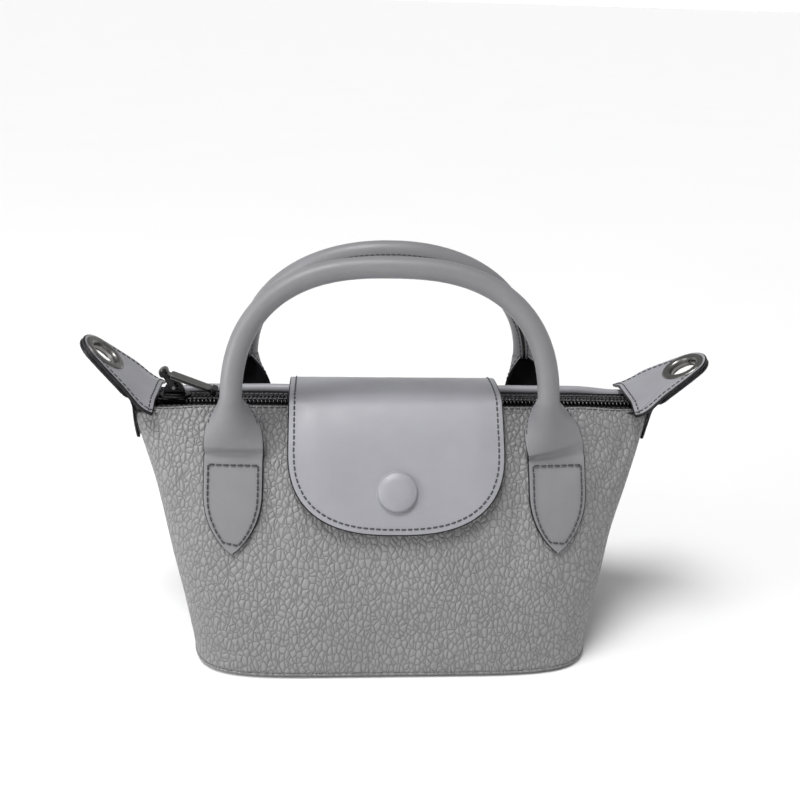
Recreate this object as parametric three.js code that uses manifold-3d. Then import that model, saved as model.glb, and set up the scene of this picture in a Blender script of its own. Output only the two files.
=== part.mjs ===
// A mini top-handle handbag: soft trapezoid body, zip top, snap flap, two rolled handles, two eyelet tabs.
// Millimetres. +X runs along the zip, -Y is the front (flap side), +Z is up, origin under the base centre.
import * as THREE from 'three';
import { mergeVertices } from 'three/addons/utils/BufferGeometryUtils.js';
import Module from 'manifold-3d';

const wasm = await Module();
wasm.setup();

// ---- driving dimensions -------------------------------------------------------------------------
const GAP = 0.3; // clearance between touching pieces
const RIM_Z = 95.3; // height of the zip rim
const BASE_HALF_X = 76.4; // body half-width just above the base
const RIM_HALF_X = 100.75; // body half-width at the rim
const SIDE_BOW = -0.21; // how far the side edges bow, as a share of the taper
const BASE_HALF_Y = 49.4; // body half-depth just above the base
const RIM_HALF_Y = 10.7; // body half-depth at the rim
const RIM_POWER = 4.2; // plan outline is a superellipse: its power at the rim
const BASE_POWER = 5.85; // and at the base, where the corners are squarer
const POWER_EASE = 3.77;
const BULGE_IN = 2.0; // how the side profile bulges: RIM + (BASE-RIM)(1 - t^BULGE_IN)^BULGE_OUT
const BULGE_OUT = 0.85;
const BASE_ROUND = 3.5; // rounding where the walls turn under

const LEATHER = 1.6; // outer leather thickness
const LINING = 0.6;
const BASE_T = 2.0; // base panel thickness
const PANEL_TOP = RIM_Z - 3.5;
const WALL_SEGMENTS = 20; // facets along each wall

const BINDING_R = 1.7; // rolled leather edge beside the zip
const BINDING_Y = 11.3;
const ZIP_HALF = 96; // half-length of zip parts
const COIL_IN = 0.55;
const COIL_OUT = 2.6;
const COIL_H = 2.0;
const COIL_TOP = RIM_Z - 1.2;
const TAPE_OUT = 9.1;
const TAPE_T = 0.7;

const SLIDER_X = -84; // slider centre when the zip is closed
const SLIDER_L = 12;
const SLIDER_W = 8.4;
const SLIDER_T = 1.3;
const BAIL_Z = RIM_Z + 3.2; // pull link's axis on the slider
const LINK_LEN = 6.8;
const LINK_LEAN = 32; // degrees left of vertical
const BAR_LEN = 21;
const BAR_SLOPE = 21.5; // degrees below horizontal
const BAR_W = 5.2;
const BAR_T = 1.5;

const FLAP_HALF_X = 40.3;
const FLAP_TIP_Z = 54.8;
const FLAP_FLAT = 12; // half-width of the nearly flat bottom of the U
const FLAP_STRAIGHT_Z = 84; // above this the flap's sides are parallel
const FLAP_STAND = 2.0; // stand-off between flap lining and front panel
const FLAP_TOP_Z = RIM_Z - 0.6;
const BRIDGE_Z = RIM_Z + 1.5; // underside of the leather over the zip
const BRIDGE_RISE = 0.9;
const ROOT_LOW_Z = 66; // flap root stitched on the back between these heights
const ROOT_TOP_Z = RIM_Z - 5;
const ROOT_HALF_X = 40.3;
const SNAP_Z = 69.8;
const SNAP_R = 7.5;

const FOOT_X = 60; // centre of each handle foot
const FOOT_HALF = 11;
const FOOT_POINT = 20; // height of the pointed end
const FOOT_TIP_Z = 47.8;
const FOOT_FOLD_Z = 79; // handle folds along this line
const FOLD_GAP = 1.1; // foot and neck each stop this far from the fold
const NECK_TOP_Z = 103.5;
const NECK_Y = 27;
const ARCH = { // centreline of each rolled handle
  front: { x: -2.7, half: 57.5, low: 101, rise: 48.2, power: 2.53 },
  rear: { x: -1.8, half: 56.2, low: 101, rise: 48.3, power: 2.13 },
};
const ARCH_APEX_Y = 12.7;
const GRIP_R = 4;
const GRIP_BORE_R = 2.95;
const CORE_R = 2.4;
const GRIP_STEPS = 18;

const TAB_PIVOT_X = 98; // where each eyelet tab bends
const TAB_PIVOT_Z = 97.5;
const TAB_TILT = 40; // degrees above horizontal
const TAB_EYE_S = 17.5; // pivot to eyelet centre
const TAB_END_R = 10.8;
const TAB_ROOT_HALF = 17.2;
const TAB_T = 1.3;
const TAB_START = 1.6;
const TAB_INNER_X = 91;
const EYELET_R = 8.5;
const EYELET_HOLE_R = 5.0;

// ---- materials ----------------------------------------------------------------------------------
const material = (color, roughness, metalness) =>
  new THREE.MeshStandardMaterial({ color, roughness, metalness });
const pebbled = material(0xa2a2a4, 0.62, 0);
const smooth = material(0xa9a9af, 0.45, 0);
const lining = material(0x17171a, 0.8, 0);
const board = material(0x5a5046, 0.9, 0);
const tape = material(0x151517, 0.75, 0);
const coil = material(0x202023, 0.35, 0);
const gunmetal = material(0x5e5d58, 0.28, 1);
const foam = material(0xd8d4c8, 0.9, 0);

// ---- solids -------------------------------------------------------------------------------------
const rad = (degrees) => (degrees * Math.PI) / 180;
const lerp = (a, b, t) => a + (b - a) * t;
const smoothstep = (t) => t * t * (3 - 2 * t);

function closed(positions, index) {
  const geometry = new THREE.BufferGeometry();
  geometry.setAttribute('position', new THREE.Float32BufferAttribute(positions, 3));
  geometry.setIndex(index);
  return geometry;
}

// A plate between two matching grids of points, with its rim closed. flip turns the faces over.
function plate(top, bottom, flip = false) {
  const rows = top.length;
  const cols = top[0].length;
  const positions = [...top.flat(2), ...bottom.flat(2)];
  const index = [];
  const at = (layer, i, j) => layer * rows * cols + i * cols + j;
  const quad = (a, b, c, d) => {
    index.push(...(flip ? [a, c, b, a, d, c] : [a, b, c, a, c, d]));
  };
  for (let i = 0; i + 1 < rows; i++) {
    for (let j = 0; j + 1 < cols; j++) {
      quad(at(0, i, j), at(0, i, j + 1), at(0, i + 1, j + 1), at(0, i + 1, j));
      quad(at(1, i, j), at(1, i + 1, j), at(1, i + 1, j + 1), at(1, i, j + 1));
    }
  }
  for (let j = 0; j + 1 < cols; j++) {
    quad(at(0, 0, j), at(1, 0, j), at(1, 0, j + 1), at(0, 0, j + 1));
    quad(at(0, rows - 1, j), at(0, rows - 1, j + 1), at(1, rows - 1, j + 1), at(1, rows - 1, j));
  }
  for (let i = 0; i + 1 < rows; i++) {
    quad(at(0, i, 0), at(0, i + 1, 0), at(1, i + 1, 0), at(1, i, 0));
    quad(at(0, i, cols - 1), at(1, i, cols - 1), at(1, i + 1, cols - 1), at(0, i + 1, cols - 1));
  }
  return closed(positions, index);
}

// A solid through a stack of rings of equal count, ordered counterclockwise seen from its far end.
function loft(rings) {
  const count = rings[0].length;
  const positions = rings.flat(2);
  const index = [];
  for (let i = 0; i + 1 < rings.length; i++) {
    for (let j = 0; j < count; j++) {
      const k = (j + 1) % count;
      const [a, b] = [i * count + j, i * count + k];
      const [c, d] = [(i + 1) * count + k, (i + 1) * count + j];
      index.push(a, b, c, a, c, d);
    }
  }
  const last = (rings.length - 1) * count;
  for (let j = 1; j + 1 < count; j++) {
    index.push(0, j + 1, j);
    index.push(last, last + j, last + j + 1);
  }
  return closed(positions, index);
}

const box = (x0, x1, y0, y1, z0, z1) =>
  new THREE.BoxGeometry(x1 - x0, y1 - y0, z1 - z0)
    .translate((x0 + x1) / 2, (y0 + y1) / 2, (z0 + z1) / 2);

function toSolid(geometry) {
  const bare = geometry.clone();
  bare.deleteAttribute('normal');
  bare.deleteAttribute('uv');
  const merged = mergeVertices(bare, 1e-4);
  return new wasm.Manifold(new wasm.Mesh({
    numProp: 3,
    vertProperties: new Float32Array(merged.attributes.position.array),
    triVerts: new Uint32Array(merged.index.array),
  }));
}

function fromSolid(solid) {
  const mesh = solid.getMesh();
  return closed(Array.from(mesh.vertProperties), Array.from(mesh.triVerts));
}

const join = (...geometries) =>
  fromSolid(geometries.map(toSolid).reduce((whole, piece) => whole.add(piece)));

const extrude = (shape, depth, curveSegments = 8) =>
  new THREE.ExtrudeGeometry(shape, { depth, bevelEnabled: false, curveSegments });

const lathe = (profile, segments = 20) =>
  new THREE.LatheGeometry(profile.map(([r, h]) => new THREE.Vector2(r, h)), segments).rotateX(Math.PI / 2);

// ---- body surface -------------------------------------------------------------------------------
function halfSizes(z) {
  const t = Math.min(Math.max(z / RIM_Z, 0), 1);
  const under = Math.max(0, 1 - z / BASE_ROUND);
  const tuck = BASE_ROUND * (1 - Math.sqrt(1 - under * under));
  const bulge = (1 - t ** BULGE_IN) ** BULGE_OUT;
  return {
    a: lerp(BASE_HALF_X, RIM_HALF_X, t + SIDE_BOW * t * (1 - t)) - tuck,
    b: lerp(RIM_HALF_Y, BASE_HALF_Y, bulge) - tuck,
    power: lerp(RIM_POWER, BASE_POWER, (1 - t) ** POWER_EASE),
  };
}

// Front half of the plan outline at height z, moved inwards, at even arc lengths from -X to +X.
function frontOutline(z, inset, segments) {
  const { a, b, power } = halfSizes(z);
  const fine = 160;
  const points = [];
  for (let k = 0; k <= fine; k++) {
    const angle = (Math.PI * k) / fine;
    const cos = -Math.cos(angle);
    const sin = Math.sin(angle);
    const x = a * Math.sign(cos) * Math.abs(cos) ** (2 / power);
    const y = -b * Math.abs(sin) ** (2 / power);
    const nx = (Math.sign(x) * Math.abs(x / a) ** (power - 1)) / a;
    const ny = -(Math.abs(y / b) ** (power - 1)) / b;
    const length = Math.hypot(nx, ny);
    points.push([x - (inset * nx) / length, Math.min(y - (inset * ny) / length, 0)]);
  }
  const lengths = [0];
  for (let k = 1; k <= fine; k++) {
    const [p, q] = [points[k - 1], points[k]];
    lengths.push(lengths[k - 1] + Math.hypot(q[0] - p[0], q[1] - p[1]));
  }
  const out = [];
  let k = 0;
  for (let i = 0; i <= segments; i++) {
    const goal = (lengths[fine] * i) / segments;
    while (k < fine - 1 && lengths[k + 1] < goal) k++;
    const t = (goal - lengths[k]) / (lengths[k + 1] - lengths[k]);
    out.push([lerp(points[k][0], points[k + 1][0], t), lerp(points[k][1], points[k + 1][1], t)]);
  }
  return out;
}

// One half of the body as a thin wall. side -1 is the front, +1 the back.
function wall(side, outer, thickness, heights) {
  const grid = (inset) =>
    heights.map((z) => {
      const line = frontOutline(z, inset, WALL_SEGMENTS);
      return line.map(([x, y]) => [x, -side * (y - GAP / 2), z]);
    });
  return plate(grid(outer), grid(outer + thickness), side > 0);
}

// Depth of the front or back surface at (x, z), always positive.
function depthAt(x, z) {
  const { a, b, power } = halfSizes(z);
  return b * (1 - Math.abs(x / a) ** power) ** (1 / power);
}

// A point standing off the front (side -1) or back (side +1) surface along its normal.
function offSurface(side, x, z, off) {
  const d = 0.05;
  const y = depthAt(x, z);
  const normal = new THREE.Vector3(
    -(depthAt(x + d, z) - depthAt(x - d, z)) / (2 * d),
    1,
    -(depthAt(x, z + d) - depthAt(x, z - d)) / (2 * d),
  ).normalize();
  return [x + off * normal.x, side * (y + off * normal.y), z + off * normal.z];
}

// A patch lying on the front or back surface. halfWidth(z) gives its outline about centre x.
function patch(side, centreX, heights, halfWidth, cols, near, far) {
  const grid = (off) =>
    heights.map((z) => {
      const line = [];
      for (let j = 0; j <= cols; j++) {
        const x = centreX + halfWidth(z) * ((2 * j) / cols - 1);
        line.push(offSurface(side, x, z, off));
      }
      return line;
    });
  return plate(grid(far), grid(near), side > 0);
}

const spaced = (low, high, count, ease = (t) => t) =>
  Array.from({ length: count + 1 }, (_, i) => lerp(low, high, ease(i / count)));

// ---- the scene graph ----------------------------------------------------------------------------
const bag = new THREE.Group();

function add(name, geometry, look, parent = bag) {
  const mesh = new THREE.Mesh(geometry, look);
  mesh.name = name;
  parent.add(mesh);
  return mesh;
}

// Body walls, lining and base.
function addBody() {
  const heights = spaced(BASE_T + GAP, PANEL_TOP, 7, (t) => 1 - (1 - t) ** 1.4);
  for (const [name, side] of [['front', -1], ['back', 1]]) {
    add(`${name}_panel`, wall(side, 0, LEATHER, heights), pebbled);
    add(`${name}_lining`, wall(side, LEATHER + GAP, LINING, heights.slice(0, -1)), lining);
  }
  const ring = (z, inset) => {
    const front = frontOutline(z, inset, WALL_SEGMENTS);
    const back = front.slice(1, -1).reverse().map(([x, y]) => [x, -y]);
    return [...front, ...back];
  };
  const slab = (low, high, lowInset, highInset) =>
    loft([
      ring(BASE_ROUND, lowInset).map(([x, y]) => [x, y, low]),
      ring(BASE_ROUND, highInset).map(([x, y]) => [x, y, high]),
    ]);
  const tuck = (z) => BASE_ROUND * (1 - Math.sqrt(1 - (1 - z / BASE_ROUND) ** 2));
  const boardLow = BASE_T + GAP;
  const boardHigh = boardLow + 1.6;
  const inside = LEATHER + LINING + 3 * GAP;
  add('base_panel', slab(0, BASE_T, tuck(0) - 0.6, tuck(BASE_T)), pebbled);
  add('base_board', slab(boardLow, boardHigh, inside + 0.4, inside + 0.4), board);
  add('base_lining', slab(boardHigh + GAP, boardHigh + GAP + LINING, inside, inside), lining);
  const pocket = patch(1, 0, spaced(24, 64, 6), () => 36, 6, -5.2, -4.4);
  add('inner_pocket', pocket, lining);
}

// Rolled edges, tapes, coils and end stops of the zip.
function addZip() {
  for (const [name, side] of [['front', -1], ['rear', 1]]) {
    const roll = new THREE.CylinderGeometry(BINDING_R, BINDING_R, 2 * ZIP_HALF, 10)
      .rotateZ(Math.PI / 2)
      .translate(0, side * BINDING_Y, RIM_Z - BINDING_R + 0.2);
    add(`${name}_rim_binding`, roll, smooth);
    const mid = COIL_TOP - COIL_H / 2;
    const [near, far] = [COIL_OUT + GAP, TAPE_OUT].map((y) => side * y).sort((p, q) => p - q);
    add(`zip_tape_${name}`, box(-ZIP_HALF, ZIP_HALF, near, far, mid - TAPE_T / 2, mid + TAPE_T / 2), tape);
    const [inner, outer] = [COIL_IN, COIL_OUT].map((y) => side * y).sort((p, q) => p - q);
    add(`zip_coil_${name}`, box(-ZIP_HALF, ZIP_HALF, inner, outer, COIL_TOP - COIL_H, COIL_TOP), coil);
  }
  for (const [name, side] of [['left', -1], ['right', 1]]) {
    const [x0, x1] = [92.4, 94.2].map((x) => side * x).sort((p, q) => p - q);
    const stop = box(x0, x1, -3, 3, COIL_TOP + GAP, COIL_TOP + GAP + 0.9);
    add(`zip_stop_${name}`, stop, gunmetal);
  }
}

// Slider, its bail, and the two-piece pull.
function addSlider() {
  const outline = new THREE.Shape();
  outline.absellipse(0, 0, SLIDER_L / 2, SLIDER_W / 2, 0, 2 * Math.PI);
  const topLow = COIL_TOP + GAP;
  const bottomLow = COIL_TOP - COIL_H - GAP - SLIDER_T;
  const top = extrude(outline, SLIDER_T, 9).translate(SLIDER_X, 0, topLow);
  const bottom = extrude(outline, SLIDER_T, 9).translate(SLIDER_X, 0, bottomLow);
  const web = box(SLIDER_X - 4, SLIDER_X + 2, -0.25, 0.25, bottomLow + 0.5, topLow + 0.5);
  add('zip_slider', join(top, bottom, web), gunmetal);

  // The bail is an arch along X over the slider, with a window for the link's lower pin.
  const bailLow = topLow + SLIDER_T + GAP;
  const bail = new THREE.Shape()
    .moveTo(-3.6, bailLow)
    .lineTo(3.6, bailLow)
    .lineTo(3.6, bailLow + 0.6)
    .quadraticCurveTo(3.4, BAIL_Z + 2.2, 0, BAIL_Z + 2.2)
    .quadraticCurveTo(-3.4, BAIL_Z + 2.2, -3.6, bailLow + 0.6);
  const window = new THREE.Path().absarc(0, BAIL_Z, 1.3, 0, 2 * Math.PI, true);
  bail.holes.push(window);
  const bailSolid = extrude(bail, 1.8, 5).rotateX(Math.PI / 2).translate(SLIDER_X, 0.9, 0);
  add('zip_slider_bail', bailSolid, gunmetal);

  const link = new THREE.Group();
  link.position.set(SLIDER_X, 0, BAIL_Z);
  link.rotation.y = -rad(LINK_LEAN);
  bag.add(link);
  const cheek = (y) => box(-1.1, 1.1, y - 0.5, y + 0.5, -1.0, LINK_LEN - 1.7);
  const pin = new THREE.CylinderGeometry(0.75, 0.75, 4.2, 8);
  const head = new THREE.CylinderGeometry(0.9, 0.9, 5.4, 10).translate(0, 0, LINK_LEN);
  const neck = (y) => box(-0.6, 0.6, y - 0.5, y + 0.5, LINK_LEN - 2.2, LINK_LEN);
  add('pull_link', join(pin, cheek(-1.7), cheek(1.7), neck(-1.7), neck(1.7), head), gunmetal, link);

  const bar = new THREE.Group();
  const lean = rad(LINK_LEAN);
  bar.position.set(SLIDER_X - LINK_LEN * Math.sin(lean), 0, BAIL_Z + LINK_LEN * Math.cos(lean));
  bar.rotation.y = rad(BAR_SLOPE);
  bag.add(bar);
  const eye = new THREE.Shape().absarc(0, 0, 1.9, 0, 2 * Math.PI);
  eye.holes.push(new THREE.Path().absarc(0, 0, 1.2, 0, 2 * Math.PI, true));
  const eyelet = extrude(eye, 1.9, 6).rotateX(Math.PI / 2).translate(0, 0.95, 0);
  const tongue = box(1.5, 4, -0.95, 0.95, -BAR_T / 2 + 0.1, BAR_T / 2 - 0.1);
  const blade = box(3, BAR_LEN - 2.3, -BAR_W / 2, BAR_W / 2, -BAR_T / 2, BAR_T / 2);
  add('pull_bar', join(eyelet, tongue, blade), gunmetal, bar);
  const cap = box(BAR_LEN - 2, BAR_LEN, -BAR_W / 2 - 0.3, BAR_W / 2 + 0.3, -1.1, 1.1);
  add('pull_bar_end', cap, gunmetal, bar);
}

// Flap: root on the back, bridge over the zip, tongue down the front.
function tongueHalf(z) {
  if (z >= FLAP_STRAIGHT_Z) return FLAP_HALF_X;
  const t = (FLAP_STRAIGHT_Z - z) / (FLAP_STRAIGHT_Z - FLAP_TIP_Z);
  return lerp(FLAP_FLAT, FLAP_HALF_X, Math.sqrt(1 - Math.min(t, 1) ** 2.4));
}

function addFlap() {
  const heights = spaced(FLAP_TIP_Z, FLAP_TOP_Z, 10, (t) => t ** 1.35);
  const liningNear = FLAP_STAND;
  const leatherNear = liningNear + LINING + GAP;
  const leatherFar = leatherNear + LEATHER;
  const liningHeights = heights.slice(0, -1);
  add('flap_lining', patch(-1, 0, liningHeights, tongueHalf, 8, liningNear, liningNear + LINING), lining);
  add('flap_tongue', patch(-1, 0, heights, tongueHalf, 8, leatherNear, leatherFar), smooth);

  const rootHeights = spaced(ROOT_LOW_Z, ROOT_TOP_Z, 5);
  add('flap_root', patch(1, 0, rootHeights, () => ROOT_HALF_X, 8, GAP, GAP + LEATHER), smooth);

  // The bridge is a shallow arch whose ends stop just short of the tongue and the root.
  const [, yFront, zFront] = offSurface(-1, 0, FLAP_TOP_Z, leatherNear);
  const [, yRear, zRear] = offSurface(1, 0, ROOT_TOP_Z, GAP);
  const profile = new THREE.SplineCurve([
    new THREE.Vector2(yFront + 0.9, zFront + 0.5),
    new THREE.Vector2(-RIM_HALF_Y / 2, BRIDGE_Z + BRIDGE_RISE),
    new THREE.Vector2(RIM_HALF_Y, BRIDGE_Z + 0.4),
    new THREE.Vector2(RIM_HALF_Y + 4, BRIDGE_Z - 1.2),
    new THREE.Vector2(yRear + 0.1, zRear + 0.7),
  ]);
  const strip = (lift) =>
    spaced(0, 1, 10).map((t) => {
      const point = profile.getPoint(t);
      const along = profile.getTangent(t);
      const y = point.x - lift * along.y;
      const z = point.y + lift * along.x;
      return [[-FLAP_HALF_X, y, z], [0, y, z], [FLAP_HALF_X, y, z]];
    });
  add('flap_bridge', plate(strip(LEATHER), strip(0)), smooth);
}

// Press snap: cap and socket on the flap, stud on the panel, backing washer behind it.
function addSnap() {
  const centre = new THREE.Vector3(...offSurface(-1, 0, SNAP_Z, 0));
  const normal = new THREE.Vector3(...offSurface(-1, 0, SNAP_Z, 1)).sub(centre).normalize();
  const frame = new THREE.Group();
  frame.position.copy(centre);
  frame.quaternion.setFromUnitVectors(new THREE.Vector3(0, 0, 1), normal);
  bag.add(frame);
  const capLow = FLAP_STAND + LINING + GAP + LEATHER + GAP + 0.15;
  const cap = lathe([
    [0, capLow], [SNAP_R - 0.4, capLow], [SNAP_R, capLow + 0.5],
    [SNAP_R - 0.5, capLow + 1.3], [SNAP_R - 2.5, capLow + 1.9], [0, capLow + 2.1],
  ]);
  add('snap_cap', cap, smooth, frame);
  const socket = lathe([[3.0, 1.05], [5.2, 1.05], [5.2, 1.65], [3.0, 1.65], [3.0, 1.05]]);
  add('snap_socket', socket, gunmetal, frame);
  const stud = lathe([[0, GAP], [4.6, GAP], [4.6, 0.75], [1.9, 0.75], [2.1, 1.4], [1.5, 1.7], [0, 1.7]]);
  add('snap_stud', stud, gunmetal, frame);
  const washerTop = -(LEATHER + LINING + 3 * GAP + 0.3);
  const washer = lathe([[0, washerTop - 0.6], [4.8, washerTop - 0.6], [4.8, washerTop], [0, washerTop]]);
  add('snap_washer', washer, gunmetal, frame);
}

// Handle foot: a spade with a pointed lower end.
function footHalf(z) {
  const t = Math.min(Math.max((z - FOOT_TIP_Z) / FOOT_POINT, 0), 1);
  return Math.max(0.7, FOOT_HALF * Math.sin((t ** 0.75 * Math.PI) / 2));
}

// Centreline of a rolled grip, with a short straight lead-in at each neck.
const archCurve = (side, arch) => {
  const legs = [0, 1.5].map((up) => [side * NECK_Y, NECK_TOP_Z + GAP + up]);
  const points = legs.map(([y, z]) => new THREE.Vector3(arch.x - arch.half, y, z));
  const count = 16;
  for (let i = 1; i < count; i++) {
    const angle = (Math.PI * i) / count;
    const cos = -Math.cos(angle);
    const x = arch.x + arch.half * Math.sign(cos) * Math.abs(cos) ** (2 / arch.power);
    const lift = Math.sin(angle) ** (2 / arch.power);
    const y = side * lerp(NECK_Y, ARCH_APEX_Y, lift ** 1.3);
    points.push(new THREE.Vector3(x, y, arch.low + arch.rise * lift));
  }
  points.push(...legs.reverse().map(([y, z]) => new THREE.Vector3(arch.x + arch.half, y, z)));
  return new THREE.CatmullRomCurve3(points, false, 'centripetal');
};

// A circle's corner points; a hole's run the other way round.
function polygon(radius, sides, hole) {
  return spaced(0, 1, sides).slice(0, -1).map((t) => {
    const angle = 2 * Math.PI * t * (hole ? -1 : 1);
    return new THREE.Vector2(radius * Math.cos(angle), radius * Math.sin(angle));
  });
}

function addHandle(name, side) {
  const arch = ARCH[name];
  for (const [hand, sign] of [['left', -1], ['right', 1]]) {
    const heights = spaced(FOOT_TIP_Z, FOOT_FOLD_Z - FOLD_GAP, 8, (t) => t ** 1.2);
    const foot = patch(side, sign * FOOT_X, heights, footHalf, 4, 0.4, 0.4 + LEATHER + 0.2);
    add(`${name}_handle_foot_${hand}`, foot, smooth);

    // The neck narrows from the flat foot to the round grip.
    const start = offSurface(side, sign * FOOT_X, FOOT_FOLD_Z, 1.3);
    const steps = 7;
    const around = 12;
    const rings = spaced(0, 1, steps).map((t) => {
      const z = lerp(FOOT_FOLD_Z + FOLD_GAP, NECK_TOP_Z, t);
      const x = lerp(sign * FOOT_X, arch.x + sign * arch.half, smoothstep(t));
      const y = lerp(start[1], side * NECK_Y, Math.sin((t * Math.PI) / 2));
      const narrow = smoothstep(Math.max(0, (t - 0.3) / 0.7));
      const half = lerp(FOOT_HALF, GRIP_R, narrow);
      const thick = lerp(1.0, GRIP_R, smoothstep(t));
      const ring = [];
      for (let k = 0; k < around; k++) {
        const angle = (2 * Math.PI * k) / around;
        const power = lerp(0.55, 1, t);
        const cos = Math.cos(angle);
        const sin = Math.sin(angle);
        ring.push([
          x + half * Math.sign(cos) * Math.abs(cos) ** power,
          y + thick * Math.sign(sin) * Math.abs(sin) ** power,
          z,
        ]);
      }
      return ring;
    });
    add(`${name}_handle_neck_${hand}`, loft(rings), smooth);
  }
  const path = archCurve(side, arch);
  const cover = new THREE.Shape(polygon(GRIP_R, 10, false));
  cover.holes.push(new THREE.Path(polygon(GRIP_BORE_R, 10, true)));
  const along = { steps: GRIP_STEPS, bevelEnabled: false, extrudePath: path };
  add(`${name}_handle_grip`, new THREE.ExtrudeGeometry(cover, along), smooth);
  const core = new THREE.Shape(polygon(CORE_R, 8, false));
  add(`${name}_handle_core`, new THREE.ExtrudeGeometry(core, along), foam);
}

// Eyelet tab: two leather layers with a metal eyelet; its roots lie over the zip end and down the side.
function tabShape() {
  const shape = new THREE.Shape();
  const turn = rad(62);
  const endX = TAB_EYE_S + TAB_END_R * Math.cos(turn);
  const endY = TAB_END_R * Math.sin(turn);
  shape.moveTo(TAB_START, -TAB_ROOT_HALF);
  shape.quadraticCurveTo(TAB_START + 9, -TAB_END_R - 3, endX, -endY);
  shape.absarc(TAB_EYE_S, 0, TAB_END_R, -turn, turn, false);
  shape.quadraticCurveTo(TAB_START + 9, TAB_END_R + 3, TAB_START, TAB_ROOT_HALF);
  shape.holes.push(new THREE.Path().absarc(TAB_EYE_S, 0, EYELET_HOLE_R + 1.0, 0, 2 * Math.PI, true));
  return shape;
}

function sideRoot(sign) {
  const grid = (off) =>
    spaced(80, 91.2, 3).map((z) =>
      spaced(-8, 8, 4).map((y) => {
        const { a, b, power } = halfSizes(z);
        const x = a * (1 - Math.abs(y / b) ** power) ** (1 / power);
        return [sign * (x + off), y, z];
      }));
  return plate(grid(GAP + TAB_T), grid(GAP), sign < 0);
}

function addTab(name, sign) {
  const low = RIM_Z + 0.8;
  const [x0, x1] = [TAB_INNER_X, TAB_PIVOT_X - 2.8].map((x) => sign * x).sort((p, q) => p - q);
  add(`${name}_tab_root_upper`, box(x0, x1, -17.6, 17.6, low, low + TAB_T), smooth);
  add(`${name}_tab_root_lower`, sideRoot(sign), smooth);

  const frame = new THREE.Group();
  frame.position.set(sign * TAB_PIVOT_X, 0, TAB_PIVOT_Z);
  frame.rotation.set(0, -rad(TAB_TILT), sign > 0 ? 0 : Math.PI, 'ZYX');
  bag.add(frame);
  const upperLow = GAP / 2;
  const layer = (z) => extrude(tabShape(), TAB_T, 6).translate(0, 0, z);
  add(`${name}_tab_upper`, layer(upperLow), smooth, frame);
  add(`${name}_tab_lower`, layer(-upperLow - TAB_T), smooth, frame);

  const face = upperLow + TAB_T + GAP;
  const flange = face + 0.6;
  const barrelR = EYELET_HOLE_R + 0.6;
  const eyelet = lathe([
    [EYELET_HOLE_R, -flange], [barrelR, -flange], [barrelR, face], [EYELET_R - 0.3, face],
    [EYELET_R, face + 0.3], [EYELET_R - 0.4, flange], [EYELET_HOLE_R, flange], [EYELET_HOLE_R, -flange],
  ]).translate(TAB_EYE_S, 0, 0);
  add(`${name}_eyelet`, eyelet, gunmetal, frame);
  const washerR = barrelR + GAP;
  const washer = lathe([
    [washerR, -flange], [EYELET_R, -flange], [EYELET_R, -face], [washerR, -face], [washerR, -flange],
  ]).translate(TAB_EYE_S, 0, 0);
  add(`${name}_eyelet_washer`, washer, gunmetal, frame);
}

addBody();
addZip();
addSlider();
addFlap();
addSnap();
addHandle('front', -1);
addHandle('rear', 1);
addTab('left', -1);
addTab('right', 1);

export default bag;
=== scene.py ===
# Looks for a mini top-handle handbag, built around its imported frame.
# Metres: +X along the zip, -Y front, +Z up.
import math
import random

import bmesh
import bpy
from mathutils import Matrix, Vector, noise


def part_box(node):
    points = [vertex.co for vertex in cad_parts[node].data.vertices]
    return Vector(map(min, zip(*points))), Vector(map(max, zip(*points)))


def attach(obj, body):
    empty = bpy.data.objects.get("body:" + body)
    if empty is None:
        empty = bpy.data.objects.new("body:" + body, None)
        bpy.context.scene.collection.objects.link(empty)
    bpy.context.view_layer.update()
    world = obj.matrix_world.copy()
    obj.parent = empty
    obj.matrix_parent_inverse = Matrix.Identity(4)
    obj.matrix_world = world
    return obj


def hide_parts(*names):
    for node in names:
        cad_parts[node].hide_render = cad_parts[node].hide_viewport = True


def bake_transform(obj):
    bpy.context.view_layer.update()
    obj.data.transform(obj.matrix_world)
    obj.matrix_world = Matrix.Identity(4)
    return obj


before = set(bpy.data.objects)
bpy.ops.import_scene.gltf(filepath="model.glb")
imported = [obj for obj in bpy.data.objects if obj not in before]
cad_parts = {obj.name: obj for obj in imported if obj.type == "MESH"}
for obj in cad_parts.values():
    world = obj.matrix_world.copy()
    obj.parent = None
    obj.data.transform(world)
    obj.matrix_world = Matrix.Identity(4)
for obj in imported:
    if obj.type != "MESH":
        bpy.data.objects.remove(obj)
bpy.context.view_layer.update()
random.seed(7)
MM = 0.001

# ---- body shape, from the frame -----------------------------------------------------------------
binding_low, binding_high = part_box("front_rim_binding")
RIM_Z = binding_high.z - 0.2 * MM
BASE_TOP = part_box("base_panel")[1].z
PANEL_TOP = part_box("front_panel")[1].z
RIM_HALF_X = 100.75 * MM
RIM_HALF_Y = 10.7 * MM
BASE_HALF_X = 76.4 * MM
BASE_HALF_Y = 49.4 * MM
SIDE_BOW = -0.21
RIM_POWER = 4.2
BASE_POWER = 5.85
POWER_EASE = 3.77
BULGE_IN = 2.0
BULGE_OUT = 0.85
BASE_ROUND = 3.5 * MM
SEAM_GAP = 0.12 * MM
LEATHER = 1.6 * MM

BINDING_Y = (binding_high.y + binding_low.y) / -2
BINDING_R = (binding_high.z - binding_low.z) / 2
ZIP_HALF = binding_high.x
COIL_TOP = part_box("zip_coil_front")[1].z

FLAP_HALF_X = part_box("flap_tongue")[1].x
FLAP_TIP_Z = 54.8 * MM
FLAP_STRAIGHT_Z = 84 * MM
FLAP_NEAR = 2.9 * MM
ROOT_NEAR = 0.3 * MM
ROOT_LOW_Z = 66 * MM
ROOT_TOP_Z = 90.3 * MM
SNAP_Z = 69.8 * MM

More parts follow.
